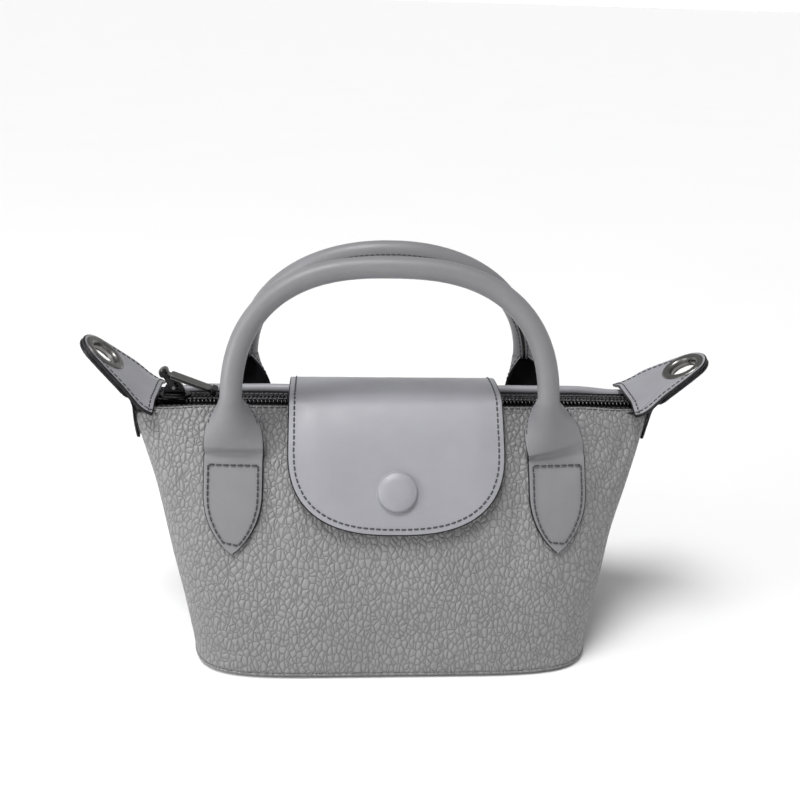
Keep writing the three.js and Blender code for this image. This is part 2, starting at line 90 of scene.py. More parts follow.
FOOT_X = 60 * MM
FOOT_HALF = 11 * MM
FOOT_TIP_Z = 47.8 * MM
FOOT_POINT = 20 * MM
FOOT_ROW_Z = 77.0 * MM
FOOT_FOLD_Z = 79 * MM
FOOT_NEAR = 0.4 * MM
STRAP_T = 1.4 * MM
NECK_TOP_Z = 103.8 * MM
NECK_Y = 27 * MM
GRIP_R = 4.0 * MM
GRIP_TURN = 6.16
GRIP_WIDTH = 24.6 * MM
ARCH_LOW_Z = 101 * MM
ARCH_APEX_Y = 12.7 * MM
ARCHES = {
    "front": {"x": -2.7 * MM, "half": 57.5 * MM, "rise": 48.2 * MM, "power": 2.53},
    "rear": {"x": -1.8 * MM, "half": 56.2 * MM, "rise": 48.3 * MM, "power": 2.13},
}

TAB_END_R = 9.7 * MM
TAB_HALF = 17.4 * MM
TAB_T = 1.25 * MM
# The soft tabs don't stand quite alike: the left one is steeper. Eyelet centre and tilt of each.
TABS = {
    "left": {"sign": -1, "x": 109.8 * MM, "z": 110.9 * MM, "tilt": math.radians(43.0)},
    "right": {"sign": 1, "x": 113.1 * MM, "z": 107.0 * MM, "tilt": math.radians(31.5)},
}
EYELET_R = 8.5 * MM
EYELET_HOLE_R = 5.0 * MM

SLIDER_X = -84 * MM
SLIDER_L = 12 * MM
SLIDER_W = 8.4 * MM
BAIL_Z = RIM_Z + 3.2 * MM
LINK_LEN = 6.8 * MM
LINK_LEAN = math.radians(32)
BAR_LEN = 21 * MM
BAR_SLOPE = math.radians(21.5)


def lerp(a, b, t):
    return a + (b - a) * t


def clamp(t, low=0.0, high=1.0):
    return min(max(t, low), high)


def smoothstep(t):
    t = clamp(t)
    return t * t * (3 - 2 * t)


# ---- materials ----------------------------------------------------------------------------------
class Nodes:
    """A node material with one Principled shader, and short calls to add nodes to it."""

    def __init__(self, name):
        self.material = bpy.data.materials.new(name)
        self.material.use_nodes = True
        self.tree = self.material.node_tree
        self.shader = self.tree.nodes["Principled BSDF"]
        self.coords = self.add("ShaderNodeTexCoord").outputs["Object"]

    def add(self, kind, **settings):
        node = self.tree.nodes.new(kind)
        for key, value in settings.items():
            setattr(node, key, value)
        return node

    def link(self, output, node_input):
        self.tree.links.new(output, node_input)

    def set(self, **values):
        for key, value in values.items():
            self.shader.inputs[key.replace("_", " ")].default_value = value

    def noise(self, scale, detail=3.0, roughness=0.5, distortion=0.0):
        node = self.add("ShaderNodeTexNoise")
        self.link(self.coords, node.inputs["Vector"])
        node.inputs["Scale"].default_value = scale
        node.inputs["Detail"].default_value = detail
        node.inputs["Roughness"].default_value = roughness
        node.inputs["Distortion"].default_value = distortion
        return node.outputs["Fac"]

    def math(self, operation, a, b=0.0):
        node = self.add("ShaderNodeMath", operation=operation)
        for socket, value in zip(node.inputs, (a, b)):
            if isinstance(value, (int, float)):
                socket.default_value = value
            else:
                self.link(value, socket)
        return node.outputs[0]

    def ramp(self, value, low, high, to_low=0.0, to_high=1.0):
        node = self.add("ShaderNodeMapRange")
        self.link(value, node.inputs["Value"])
        for key, number in (("From Min", low), ("From Max", high), ("To Min", to_low), ("To Max", to_high)):
            node.inputs[key].default_value = number
        return node.outputs["Result"]

    def mix(self, factor, dark, light):
        node = self.add("ShaderNodeMix", data_type="RGBA")
        self.link(factor, node.inputs[0])
        for socket, value in ((node.inputs[6], dark), (node.inputs[7], light)):
            if isinstance(value, tuple):
                socket.default_value = (*value, 1)
            else:
                self.link(value, socket)
        return node.outputs[2]

    def bump(self, height, distance, strength=1.0):
        node = self.add("ShaderNodeBump")
        self.link(height, node.inputs["Height"])
        node.inputs["Distance"].default_value = distance
        node.inputs["Strength"].default_value = strength
        self.link(node.outputs[0], self.shader.inputs["Normal"])


def pebbled_leather():
    """Grey faux leather with an irregular, slightly stretched pebble grain about 2 mm across."""
    m = Nodes("pebbled_leather")
    stretch = m.add("ShaderNodeMapping")
    m.link(m.coords, stretch.inputs["Vector"])
    stretch.inputs["Rotation"].default_value = (0, -0.35, 0)
    stretch.inputs["Scale"].default_value = (1.25, 1.1, 0.8)
    warp = m.add("ShaderNodeTexNoise")
    m.link(stretch.outputs[0], warp.inputs["Vector"])
    warp.inputs["Scale"].default_value = 160
    warp.inputs["Detail"].default_value = 2
    bend = m.add("ShaderNodeVectorMath", operation="MULTIPLY_ADD")
    m.link(warp.outputs["Color"], bend.inputs[0])
    bend.inputs[1].default_value = (0.0022, 0.0022, 0.0022)
    m.link(stretch.outputs[0], bend.inputs[2])
    cells = m.add("ShaderNodeTexVoronoi", feature="DISTANCE_TO_EDGE")
    m.link(bend.outputs[0], cells.inputs["Vector"])
    cells.inputs["Scale"].default_value = 430
    crease = m.ramp(cells.outputs["Distance"], 0.0, 0.34)
    centre = m.add("ShaderNodeTexVoronoi", feature="SMOOTH_F1")
    m.link(bend.outputs[0], centre.inputs["Vector"])
    centre.inputs["Scale"].default_value = 430
    centre.inputs["Smoothness"].default_value = 0.25
    pores = m.noise(3600, 2)
    patches = m.ramp(m.noise(26, 3), 0.35, 0.68, 0.85, 1.0)
    round_top = m.math("POWER", crease, 0.7)
    dome = m.math("SUBTRACT", 1.0, m.math("POWER", centre.outputs["Distance"], 2.0))
    height = m.math("ADD", m.math("MULTIPLY", dome, 0.5), m.math("MULTIPLY", round_top, 0.7))
    height = m.math("MULTIPLY", height, patches)
    height = m.math("ADD", height, m.math("MULTIPLY", pores, 0.05))
    tone = m.ramp(m.noise(38, 4), 0.3, 0.7)
    ground = m.mix(tone, (0.215, 0.212, 0.215), (0.250, 0.247, 0.251))
    # The grain's creases are painted darker than the pebbles: painted shade in the creases.
    painted_crease_shade = m.mix(m.ramp(cells.outputs["Distance"], 0.0, 0.10), (0.145, 0.142, 0.144), ground)
    m.link(painted_crease_shade, m.shader.inputs["Base Color"])
    m.link(m.ramp(round_top, 0, 1, 0.62, 0.45), m.shader.inputs["Roughness"])
    m.set(Specular_IOR_Level=0.5)
    m.bump(height, 0.00055)
    return m.material


def smooth_leather(name, dark, light):
    """The same grey in a smooth finish: fine pores, faint mottling, satin."""
    m = Nodes(name)
    grain = m.add("ShaderNodeTexVoronoi", feature="SMOOTH_F1")
    m.link(m.coords, grain.inputs["Vector"])
    grain.inputs["Scale"].default_value = 2600
    height = m.math("ADD", m.math("MULTIPLY", grain.outputs["Distance"], -0.5), m.noise(900, 4))
    tone = m.ramp(m.noise(45, 5, 0.6), 0.3, 0.72)
    m.link(m.mix(tone, dark, light), m.shader.inputs["Base Color"])
    m.link(m.ramp(m.noise(130, 3), 0.3, 0.7, 0.40, 0.50), m.shader.inputs["Roughness"])
    m.set(Specular_IOR_Level=0.5)
    m.bump(height, 0.00006, 0.7)
    return m.material


def edge_paint():
    """Black painted leather edge, slightly uneven and shiny."""
    m = Nodes("edge_paint")
    tone = m.ramp(m.noise(300, 3), 0.35, 0.7)
    m.link(m.mix(tone, (0.006, 0.006, 0.007), (0.018, 0.018, 0.020)), m.shader.inputs["Base Color"])
    m.link(m.ramp(m.noise(700, 2), 0.3, 0.7, 0.34, 0.5), m.shader.inputs["Roughness"])
    m.set(Specular_IOR_Level=0.2)
    m.bump(m.noise(900, 3), 0.00012, 0.6)
    return m.material


def thread(name, dark, light, roughness):
    """Twisted sewing thread."""
    m = Nodes(name)
    twist = m.add("ShaderNodeTexWave", wave_type="BANDS", bands_direction="DIAGONAL")
    m.link(m.coords, twist.inputs["Vector"])
    twist.inputs["Scale"].default_value = 900
    m.link(m.mix(twist.outputs["Fac"], dark, light), m.shader.inputs["Base Color"])
    m.set(Roughness=roughness)
    m.bump(twist.outputs["Fac"], 0.00008, 0.8)
    return m.material


def woven(name, dark, light, pitch):
    """Plain woven cloth."""
    m = Nodes(name)
    bands = []
    for direction in ("X", "Z"):
        wave = m.add("ShaderNodeTexWave", wave_type="BANDS", bands_direction=direction)
        m.link(m.coords, wave.inputs["Vector"])
        wave.inputs["Scale"].default_value = 0.314 / pitch
        bands.append(wave.outputs["Fac"])
    weave = m.math("MULTIPLY", bands[0], bands[1])
    m.link(m.mix(weave, dark, light), m.shader.inputs["Base Color"])
    m.link(m.ramp(m.noise(200, 3), 0.3, 0.7, 0.7, 0.9), m.shader.inputs["Roughness"])
    m.set(Specular_IOR_Level=0.15)
    m.bump(weave, 0.00012, 0.8)
    return m.material


def nylon():
    """Black nylon coil with a glossy skin."""
    m = Nodes("black_nylon")
    tone = m.ramp(m.noise(500, 2), 0.3, 0.7)
    m.link(m.mix(tone, (0.010, 0.010, 0.011), (0.030, 0.030, 0.032)), m.shader.inputs["Base Color"])
    m.link(m.ramp(m.noise(900, 2), 0.3, 0.7, 0.16, 0.30), m.shader.inputs["Roughness"])
    m.set(Specular_IOR_Level=0.8)
    return m.material


def gunmetal(name, tone, roughness):
    """Plated zinc: dark grey-brown metal with faint polishing marks and a few rub marks."""
    m = Nodes(name)
    marks = m.noise(420, 6, 0.65, distortion=0.6)
    dark = tuple(0.72 * v for v in tone)
    m.link(m.mix(m.ramp(marks, 0.35, 0.7), dark, tone), m.shader.inputs["Base Color"])
    m.link(m.ramp(m.noise(160, 5), 0.3, 0.7, roughness, roughness + 0.14), m.shader.inputs["Roughness"])
    m.set(Metallic=1.0)
    m.bump(m.noise(1500, 4), 0.00002, 0.5)
    return m.material


def plain(name, dark, light, scale, roughness):
    """A two-tone rough material for hidden board and foam."""
    m = Nodes(name)
    value = m.noise(scale, 5)
    m.link(m.mix(m.ramp(value, 0.3, 0.7), dark, light), m.shader.inputs["Base Color"])
    m.set(Roughness=roughness)
    m.bump(value, 0.0002, 0.5)
    return m.material


PEBBLED = pebbled_leather()
SMOOTH = smooth_leather("smooth_leather", (0.265, 0.265, 0.286), (0.297, 0.297, 0.322))
# The handles' copy of the smooth leather is painted about a third darker: painted shade on the rolled
# handles.
HANDLE_SHADED_LEATHER = smooth_leather("handle_leather_painted_shade", (0.185, 0.184, 0.194), (0.215, 0.214, 0.226))
EDGE = edge_paint()
THREAD = thread("dark_thread", (0.012, 0.012, 0.014), (0.075, 0.075, 0.08), 0.55)
ZIP_THREAD = thread("zip_thread", (0.02, 0.02, 0.022), (0.12, 0.12, 0.125), 0.35)
LINING = woven("black_lining", (0.004, 0.004, 0.005), (0.016, 0.016, 0.018), 0.5 * MM)
TAPE = woven("zip_tape", (0.004, 0.004, 0.005), (0.022, 0.022, 0.024), 0.35 * MM)
NYLON = nylon()
METAL = gunmetal("gunmetal", (0.215, 0.212, 0.205), 0.26)
DARK_METAL = gunmetal("dark_gunmetal", (0.030, 0.030, 0.031), 0.2)
BOARD = plain("base_board", (0.07, 0.055, 0.04), (0.14, 0.11, 0.085), 300, 0.85)
FOAM = plain("cord_core", (0.5, 0.47, 0.4), (0.65, 0.62, 0.55), 500, 0.9)


# ---- mesh helpers -------------------------------------------------------------------------------
def piece(name, vertices, faces, looks, face_looks=None):
    """A new mesh object with outward faces. looks are its materials, face_looks each face's slot."""
    mesh = bpy.data.meshes.new(name)
    mesh.from_pydata([tuple(v) for v in vertices], [], faces)
    for look in looks:
        mesh.materials.append(look)
    if face_looks:
        mesh.polygons.foreach_set("material_index", face_looks)
    bm = bmesh.new()
    bm.from_mesh(mesh)
    bmesh.ops.recalc_face_normals(bm, faces=bm.faces)
    bm.to_mesh(mesh)
    bm.free()
    mesh.polygons.foreach_set("use_smooth", [True] * len(mesh.polygons))
    obj = bpy.data.objects.new(name, mesh)
    bpy.context.scene.collection.objects.link(obj)
    return obj


def place(obj, body, slot, *nodes):
    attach(obj, body)
    finish_piece(obj, slot, *nodes)


def finish_piece(obj, slot, *nodes):
    if nodes:
        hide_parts(*nodes)


def resample(points, count=None, pitch=None):
    """Even points along a 3-D or 2-D polyline."""
    points = [Vector(p) for p in points]
    lengths = [0.0]
    for a, b in zip(points, points[1:]):
        lengths.append(lengths[-1] + (b - a).length)
    total = lengths[-1]
    count = count or max(2, round(total / pitch))
    out = []
    k = 0
    for i in range(count + 1):
        goal = total * i / count
        while k < len(points) - 2 and lengths[k + 1] < goal:
            k += 1
        t = (goal - lengths[k]) / max(lengths[k + 1] - lengths[k], 1e-12)
        out.append(points[k].lerp(points[k + 1], clamp(t)))
    return out


def inset_loop(loop, distance):
    """A closed 2-D loop moved inwards; the loop runs counterclockwise."""
    out = []
    count = len(loop)
    for i, p in enumerate(loop):
        along = (loop[(i + 1) % count] - loop[i - 1]).normalized()
        out.append(p + Vector((-along.y, along.x)) * distance)
    return out


def counterclockwise(loop):
    area = sum(a.x * b.y - b.x * a.y for a, b in zip(loop, loop[1:] + loop[:1]))
    return loop if area > 0 else loop[::-1]


def ring_faces(rings, around, start=0):
    """Quads between closed rings of points, then a cap on the first ring and one on the last."""
    faces = []
    for r in range(rings - 1):
        low = start + r * around
        high = low + around
        for i in range(around):
            j = (i + 1) % around
            faces.append((low + i, low + j, high + j, high + i))
    last = start + (rings - 1) * around
    faces.append(tuple(start + i for i in range(around)))
    faces.append(tuple(last + i for i in range(around)))
    return faces


def slab_faces(rows, columns):
    """Faces of a slab between two grids of points; also 0 for those on the first grid, 1 for the rest."""
    shift = rows * columns
    last = (rows - 1) * columns
    faces = []
    looks = []
    for r in range(rows - 1):
        for c in range(columns - 1):
            i = r * columns + c
            faces.append((i, i + 1, i + columns + 1, i + columns))
            faces.append((shift + i, shift + i + columns, shift + i + columns + 1, shift + i + 1))
            looks += [0, 1]
    sides = []
    for c in range(columns - 1):
        sides.append((c, shift + c, shift + c + 1, c + 1))
        sides.append((last + c, last + c + 1, shift + last + c + 1, shift + last + c))
    for r in range(rows - 1):
        i = r * columns
        j = i + columns - 1
        sides.append((i, i + columns, shift + i + columns, shift + i))
        sides.append((j, shift + j, shift + j + columns, j + columns))
    return faces + sides, looks + [1] * len(sides)


def sheet(name, loop, centre, to_space, thickness, looks, rings=24, round_r=0.5 * MM, hole_r=0.0):
    """A sheet with rounded, painted edges. loop is its outline; to_space(u, v, off) places a point."""
    loop = counterclockwise(loop)
    centre = Vector(centre)
    count = len(loop)
    body = inset_loop(loop, round_r)
    hole = [centre + (p - centre).normalized() * hole_r for p in body]
    corner = 0.714 * round_r
    layers = [
        (loop, thickness - round_r, 1),
        (inset_loop(loop, 0.3 * round_r), thickness - round_r + corner, 1),
        (body, thickness, 1),
    ]
    under = [
        (loop, round_r, 1),
        (inset_loop(loop, 0.3 * round_r), round_r - corner, 1),
        (body, 0.0, 1),
    ]
    for k in range(1, rings + 1):
        t = k / rings if hole_r else min(k / rings, 1 - 0.4 / rings)
        ring = [p.lerp(h, t) for p, h in zip(body, hole)]
        layers.append((ring, thickness, 0))
        under.append((ring, 0.0, 2))
    stack = under[::-1] + layers
    vertices = []
    for ring, off, _ in stack:
        vertices += [to_space(p.x, p.y, off) for p in ring]
    faces = ring_faces(len(stack), count)
    face_looks = []
    for (_, _, below), (_, _, above) in zip(stack, stack[1:]):
        look = 0 if {below, above} == {0, 1} else max(below, above)
        face_looks += [look] * count
    if hole_r:
        last = (len(stack) - 1) * count
        faces[-2:] = [(last + i, last + (i + 1) % count, (i + 1) % count, i) for i in range(count)]
        face_looks += [1] * count
    else:
        face_looks += [2, 0]
    return piece(name, vertices, faces, looks, face_looks)


def stitches(name, rows, look, pitch=2.3 * MM, length=1.75 * MM, radius=0.26 * MM):
    """Short arched threads along each row; a row is a list of (point, normal)."""
    vertices = []
    faces = []
    sides = 6
    profile = ((0.0, -0.7), (0.14, 0.35), (0.5, 0.55), (0.86, 0.35), (1.0, -0.7))
    for row in rows:
        path = [p for p, _ in row]
        lengths = [0.0]
        for a, b in zip(path, path[1:]):
            lengths.append(lengths[-1] + (b - a).length)
        total = lengths[-1]
        count = max(1, int(total / pitch))
        step = total / count

        def at(goal):
            low, high = 0, len(path) - 2
            while low < high:
                k = (low + high + 1) // 2
                if lengths[k] <= goal:
                    low = k
                else:
                    high = k - 1
            k = low
            t = (goal - lengths[k]) / max(lengths[k + 1] - lengths[k], 1e-12)
            return path[k].lerp(path[k + 1], t), row[k][1].lerp(row[k + 1][1], t).normalized()

        for i in range(count):
            span = length * step / pitch
            start = i * step + (step - span) / 2
            wobble = random.uniform(-0.05, 0.05) * MM
            first = len(vertices)
            a, up = at(start)
            b, _ = at(start + span)
            along = (b - a).normalized()
            side = along.cross(up).normalized()
            for t, rise in profile:
                centre, normal = at(start + span * t)
                centre = centre + normal * radius * rise + side * wobble
                for s in range(sides):
                    angle = 2 * math.pi * s / sides
                    spoke = side * math.cos(angle) * 1.15 + normal * math.sin(angle)
                    vertices.append(centre + spoke * radius)
            faces += ring_faces(len(profile), sides, first)
    return piece(name, vertices, faces, [look])


def prism(name, outline, thickness, look, matrix, holes=(), bevel=0.25 * MM):
    """A flat rounded-edge plate from a 2-D outline, centred on its mid-plane, then placed by matrix."""
    curve = bpy.data.curves.new(name, "CURVE")
    curve.dimensions = "2D"
    curve.fill_mode = "BOTH"
    curve.extrude = max(thickness / 2 - bevel, 0)
    curve.bevel_depth = bevel
    curve.bevel_resolution = 3
    curve.offset = -bevel
    for loop in (outline, *holes):
        spline = curve.splines.new("POLY")
        spline.points.add(len(loop) - 1)
        for point, (x, y) in zip(spline.points, loop):
            point.co = (x, y, 0, 1)
        spline.use_cyclic_u = True
    holder = bpy.data.objects.new(name, curve)
    bpy.context.scene.collection.objects.link(holder)
    bpy.context.view_layer.update()
    depsgraph = bpy.context.evaluated_depsgraph_get()
    mesh = bpy.data.meshes.new_from_object(holder.evaluated_get(depsgraph))
    bpy.data.objects.remove(holder)
    bm = bmesh.new()
    bm.from_mesh(mesh)
    bmesh.ops.remove_doubles(bm, verts=bm.verts, dist=1e-6)
    bmesh.ops.recalc_face_normals(bm, faces=bm.faces)
    bm.to_mesh(mesh)
    bm.free()
    mesh.materials.clear()
    mesh.materials.append(look)
    mesh.transform(matrix)
    mesh.name = name
    obj = bpy.data.objects.new(name, mesh)
    bpy.context.scene.collection.objects.link(obj)
    for polygon in mesh.polygons:
        polygon.use_smooth = False
    return obj


def joined(name, objects):
    """Several mesh objects as one."""
    bm = bmesh.new()
    looks = []
    for obj in objects:
        for look in obj.data.materials:
            if look not in looks:
                looks.append(look)
    for obj in objects:
        start = len(bm.faces)
        bm.from_mesh(obj.data)
        bm.faces.ensure_lookup_table()
        slots = [looks.index(look) for look in obj.data.materials]
        for face in bm.faces[start:]:
            face.material_index = slots[face.material_index]
    mesh = bpy.data.meshes.new(name)
    bm.to_mesh(mesh)
    bm.free()
    for look in looks:
        mesh.materials.append(look)
    for obj in objects:
        bpy.data.objects.remove(obj)
    out = bpy.data.objects.new(name, mesh)
    bpy.context.scene.collection.objects.link(out)
    return out


def circle(radius, count):
    angles = [2 * math.pi * i / count for i in range(count)]
    return [(radius * math.cos(angle), radius * math.sin(angle)) for angle in angles]


def turned(name, profile, look, matrix, segments=72):
    """A turned solid from (radius, height) points; radius 0 points close it on the axis."""
    vertices = []
    rings = []
    for r, h in profile:
        if r < 1e-9:
            rings.append([len(vertices)] * segments)
            vertices.append(Vector((0, 0, h)))
        else:
            rings.append([len(vertices) + i for i in range(segments)])
            for i in range(segments):
                angle = 2 * math.pi * i / segments
                vertices.append(Vector((r * math.cos(angle), r * math.sin(angle), h)))
    faces = []
    for low, high in zip(rings, rings[1:]):
        for i in range(segments):
            j = (i + 1) % segments
            corners = []
            for v in (low[i], low[j], high[j], high[i]):
                if v not in corners:
                    corners.append(v)
            if len(corners) > 2:
                faces.append(tuple(corners))
    return piece(name, [matrix @ v for v in vertices], faces, [look])


def rounded(points, radius, steps=4):
    """A polyline profile with its inner corners rounded."""
    out = [points[0]]
    for before, here, after in zip(points, points[1:], points[2:]):
        here = Vector(here)
        back = Vector(before) - here
        ahead = Vector(after) - here
        reach = min(radius, back.length * 0.45, ahead.length * 0.45)
        a = here + back.normalized() * reach
        b = here + ahead.normalized() * reach
        for k in range(steps + 1):
            t = k / steps
            p = a.lerp(here, t).lerp(here.lerp(b, t), t)
            out.append((p.x, p.y))
    out.append(points[-1])
    return out


# ---- body surface -------------------------------------------------------------------------------
def half_sizes(z):
    t = clamp(z / RIM_Z)
    under = max(0.0, 1 - max(z, 0) / BASE_ROUND)
    tuck = BASE_ROUND * (1 - math.sqrt(max(0.0, 1 - under * under)))
    bulge = (1 - t**BULGE_IN) ** BULGE_OUT
    a = lerp(BASE_HALF_X, RIM_HALF_X, t + SIDE_BOW * t * (1 - t)) - tuck
    b = lerp(RIM_HALF_Y, BASE_HALF_Y, bulge) - tuck
    return a, b, lerp(RIM_POWER, BASE_POWER, (1 - t) ** POWER_EASE)


def depth_at(x, z):
    a, b, power = half_sizes(z)
    return b * max(0.0, 1 - abs(x / a) ** power) ** (1 / power)


def dent(x, z, at_x, at_z, size_x, size_z, lean=0.0):
    """A soft bell around (at_x, at_z), leaning by lean in x for each unit of z."""
    dz = z - at_z
    dx = x - at_x - lean * dz
    return math.exp(-((dx / size_x) ** 2) - (dz / size_z) ** 2)


# Each fold: x, z, half-width, half-height, lean, depth. Negative depths sink in. Millimetres.
FRONT_FOLDS = (
    (-78, 66, 4.5, 17, 0.05, -0.9),
    (-45, 62, 3.6, 18, -0.06, -0.8),
    (45, 60, 3.8, 20, 0.05, -0.9),
    (78, 66, 5.0, 18, -0.12, -1.0),
    (-86, 85, 3.4, 9, -0.75, -0.9),
    (86, 80, 3.2, 12, 0.55, -1.1),
    (-82, 34, 7.0, 22, -0.25, -0.6),
    (81, 36, 7.0, 24, 0.25, -0.7),
    (-30, 18, 26, 9, 0.0, -0.5),
    (34, 22, 28, 10, 0.0, -0.5),
    (0, 40, 34, 9, 0.0, -0.3),
    (-93, 72, 4.0, 18, -0.3, -0.7),
    (92, 62, 4.0, 20, 0.35, -0.9),
)


def relief(side, p):
    """How far the soft leather stands in or out of its even shape at p."""
    mirror = 1 if side < 0 else -1
    x, z = p.x / MM * mirror, p.z / MM
    total = sum(depth * dent(x, z, fx, fz, sx, sz, lean) for fx, fz, sx, sz, lean, depth in FRONT_FOLDS)
    wave = noise.noise(Vector((x * 0.028, p.y / MM * 0.03 + 7.1 * side, z * 0.035)))
    ripple = noise.noise(Vector((x * 0.085 + 3.3, p.y / MM * 0.08, z * 0.06 + 5.7 * side)))
    total += 0.5 * wave + 0.2 * ripple - 0.05
    side_fold = math.exp(-((p.y / MM / 7) ** 2)) * smoothstep((abs(x) - 70) / 12)
    total -= 0.6 * side_fold * smoothstep((z - 12) / 50)
    total = min(total, 0.35)
    total *= smoothstep(z / 9) * (1 - 0.8 * smoothstep((z - 86) / 6))
    return total * MM


def surface(side, x, z, off):
    """A point standing off the front or back, folds included, and the outward normal there."""
    d = 0.1 * MM
    y = depth_at(x, z)
    normal = Vector((
        -(depth_at(x + d, z) - depth_at(x - d, z)) / (2 * d),
        1,
        -(depth_at(x, z + d) - depth_at(x, z - d)) / (2 * d),
    )).normalized()
    normal.y *= side
    point = Vector((x, side * y, z))
    return point + normal * (off + relief(side, point)), normal


def outline(z, count):
    """Front half of the plan outline at z from -X to +X, even steps, with outward normals."""
    a, b, power = half_sizes(z)
    fine = []
    steps = 400
    for k in range(steps + 1):
        angle = math.pi * k / steps
        c, s = -math.cos(angle), math.sin(angle)
        x = a * math.copysign(abs(c) ** (2 / power), c)
        fine.append(Vector((x, -b * s ** (2 / power))))
    out = []
    for p in resample(fine, count):
        nx = math.copysign(abs(p.x / a) ** (power - 1), p.x) / a
        ny = -(abs(p.y / b) ** (power - 1)) / b
        out.append((p, Vector((nx, ny)).normalized()))
    return out


def rim_sag(x):
    """The rim dips towards the eyelet tabs."""
    return -1.5 * MM * smoothstep((abs(x) - 70 * MM) / (22 * MM))


def rim_rows(side, top):
    """Rows that carry the wall up, over the rim and down beside the zip."""
    over = ((1.9, -2.2), (1.7, -1.2), (1.15, -0.45), (0.3, -0.1), (-0.55, -0.3), (-1.15, -0.9), (-1.5, -2.2))
    if side > 0:
        over = ((1.2, -3.0), (0.4, -2.9), (-0.6, -2.8))
    rows = [[] for _ in over]
    for point, normal in top:
        close = clamp(abs(point.y) / (14.2 * MM))
        before = point
        for row, (dy, z) in zip(rows, over):
            y = side * max((BINDING_Y + dy * MM) * close, SEAM_GAP)
            here = Vector((clamp(point.x, -99.5 * MM, 99.5 * MM), y, RIM_Z + z * MM + rim_sag(point.x)))
            step = here - before
            facing = Vector((normal.x * 0.2, step.z * side, -step.y * side)).normalized()
            row.append((here, facing))
            before = here
    return rows


WALL_COLUMNS = 220
WALL_ROWS = 84


def make_wall(side, name, *nodes):
    """One half of the body in pebbled leather, turned over beside the zip at the top."""
    low = BASE_TOP + 0.15 * MM
    rows = []
    for r in range(WALL_ROWS + 1):
        z = lerp(low, PANEL_TOP, r / WALL_ROWS)
        a, b, _ = half_sizes(z)
        a2, b2, _ = half_sizes(z + 0.5 * MM)
        slope = Vector((a - a2, b - b2)) / (0.5 * MM)
        row = []
        for p, n in outline(z, WALL_COLUMNS):
            up = slope.x * abs(n.x) + slope.y * abs(n.y)
            normal = Vector((n.x, n.y, up)).normalized()
            point = Vector((p.x, p.y, z))
            if side > 0:
                point.y, normal.y = -point.y, -normal.y
            point = point + normal * relief(side, point)
            point.y = side * max(side * point.y, SEAM_GAP)
            row.append((point, normal))
        rows.append(row)
    rows += rim_rows(side, rows[-1])
    outer = [p for row in rows for p, _ in row]
    inner = []
    for row in rows:
        for p, n in row:
            q = p - n * LEATHER * 0.85
            q.y = side * max(side * q.y, SEAM_GAP)
            inner.append(q)
    make_lining(side, rows)
    faces, looks = slab_faces(len(rows), WALL_COLUMNS + 1)
    obj = piece(name, outer + inner, faces, [PEBBLED, EDGE], looks)
    place(obj, "bag", "pebbled_leather", *nodes)
    return rows


def make_lining(side, rows):
    """Cloth just inside one wall, following its folds."""
    rows = rows[:WALL_ROWS - 2:3]
    layers = []
    for depth in (1.75 * MM, 2.2 * MM):
        layer = []
        for row in rows:
            for p, n in row[::3]:
                q = p - n * depth
                q.y = side * max(side * q.y, SEAM_GAP)
                layer.append(q)
        layers.append(layer)
    faces, _ = slab_faces(len(rows), len(rows[0][::3]))
    name = "front" if side < 0 else "back"
    obj = piece(f"{name}_cloth", layers[0] + layers[1], faces, [LINING])
    place(obj, "bag", "black_lining", f"{name}_lining")


def make_base():
    """Base panel: flat underside, rounded edge and a welt seam round it."""
    count = 90
    rings = []
    edge = ((0.0, 9.0), (0.0, 2.9), (0.25, 1.7), (0.8, 0.75), (1.5, 0.2))
    welt = ((2.0, -0.05), (2.25, 0.25), (2.2, 1.2), (2.0, 8.0))
    for height, inset in edge + welt:
        half = outline(BASE_ROUND, count)
        ring = [Vector((*(p - n * inset * MM), height * MM)) for p, n in half]
        ring += [Vector((p.x, -p.y, p.z)) for p in ring[-2:0:-1]]
        rings.append(ring)
    faces = ring_faces(len(rings), len(rings[0]))
    obj = piece("base_leather", [p for ring in rings for p in ring], faces, [PEBBLED])
    place(obj, "bag", "pebbled_leather", "base_panel")


def make_body():
    front = make_wall(-1, "front_leather", "front_panel", "front_rim_binding")
    back = make_wall(1, "back_leather", "back_panel")
    make_base()
    rows = []
    for wall in (front, back):
        top = wall[WALL_ROWS + 3] if wall is front else wall[WALL_ROWS - 1]
        rows.append([item for item in top if abs(item[0].x) < 92 * MM])
        for column in (2, WALL_COLUMNS - 2):
            rows.append([wall[r][column] for r in range(3, WALL_ROWS - 8)])
    seams = stitches("body_stitching", rows, THREAD, radius=0.2 * MM)
    place(seams, "bag", "smooth_leather")
    for name in ("base_lining", "inner_pocket"):
        dress(name, LINING)
    dress("base_board", BOARD)


def dress(node, look):
    """Give a CAD node a material."""
    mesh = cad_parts[node].data
    mesh.materials.clear()
    mesh.materials.append(look)


# ---- zip ----------------------------------------------------------------------------------------
def tube(name, path, radius, look, sides):
    """A closed round rod along a path that runs more or less in X."""
    vertices = []
    for i, p in enumerate(path):
        along = (path[min(i + 1, len(path) - 1)] - path[max(i - 1, 0)]).normalized()
        side = along.cross(Vector((0, 0, 1))).normalized()
        up = side.cross(along)
        for s in range(sides):
            angle = 2 * math.pi * s / sides
            spoke = side * math.cos(angle) + up * math.sin(angle)
            vertices.append(p + spoke * radius)
    return piece(name, vertices, ring_faces(len(path), sides), [look])


def zip_sag(x):
    """The zip line isn't quite straight, and it dips towards the tabs with the rim."""
    wave = 0.5 * MM * noise.noise(Vector((x / MM * 0.02, 4.2, 0)))
    return wave - 0.25 * MM * math.cos(x / ZIP_HALF * 3.1) + 0.5 * rim_sag(x)


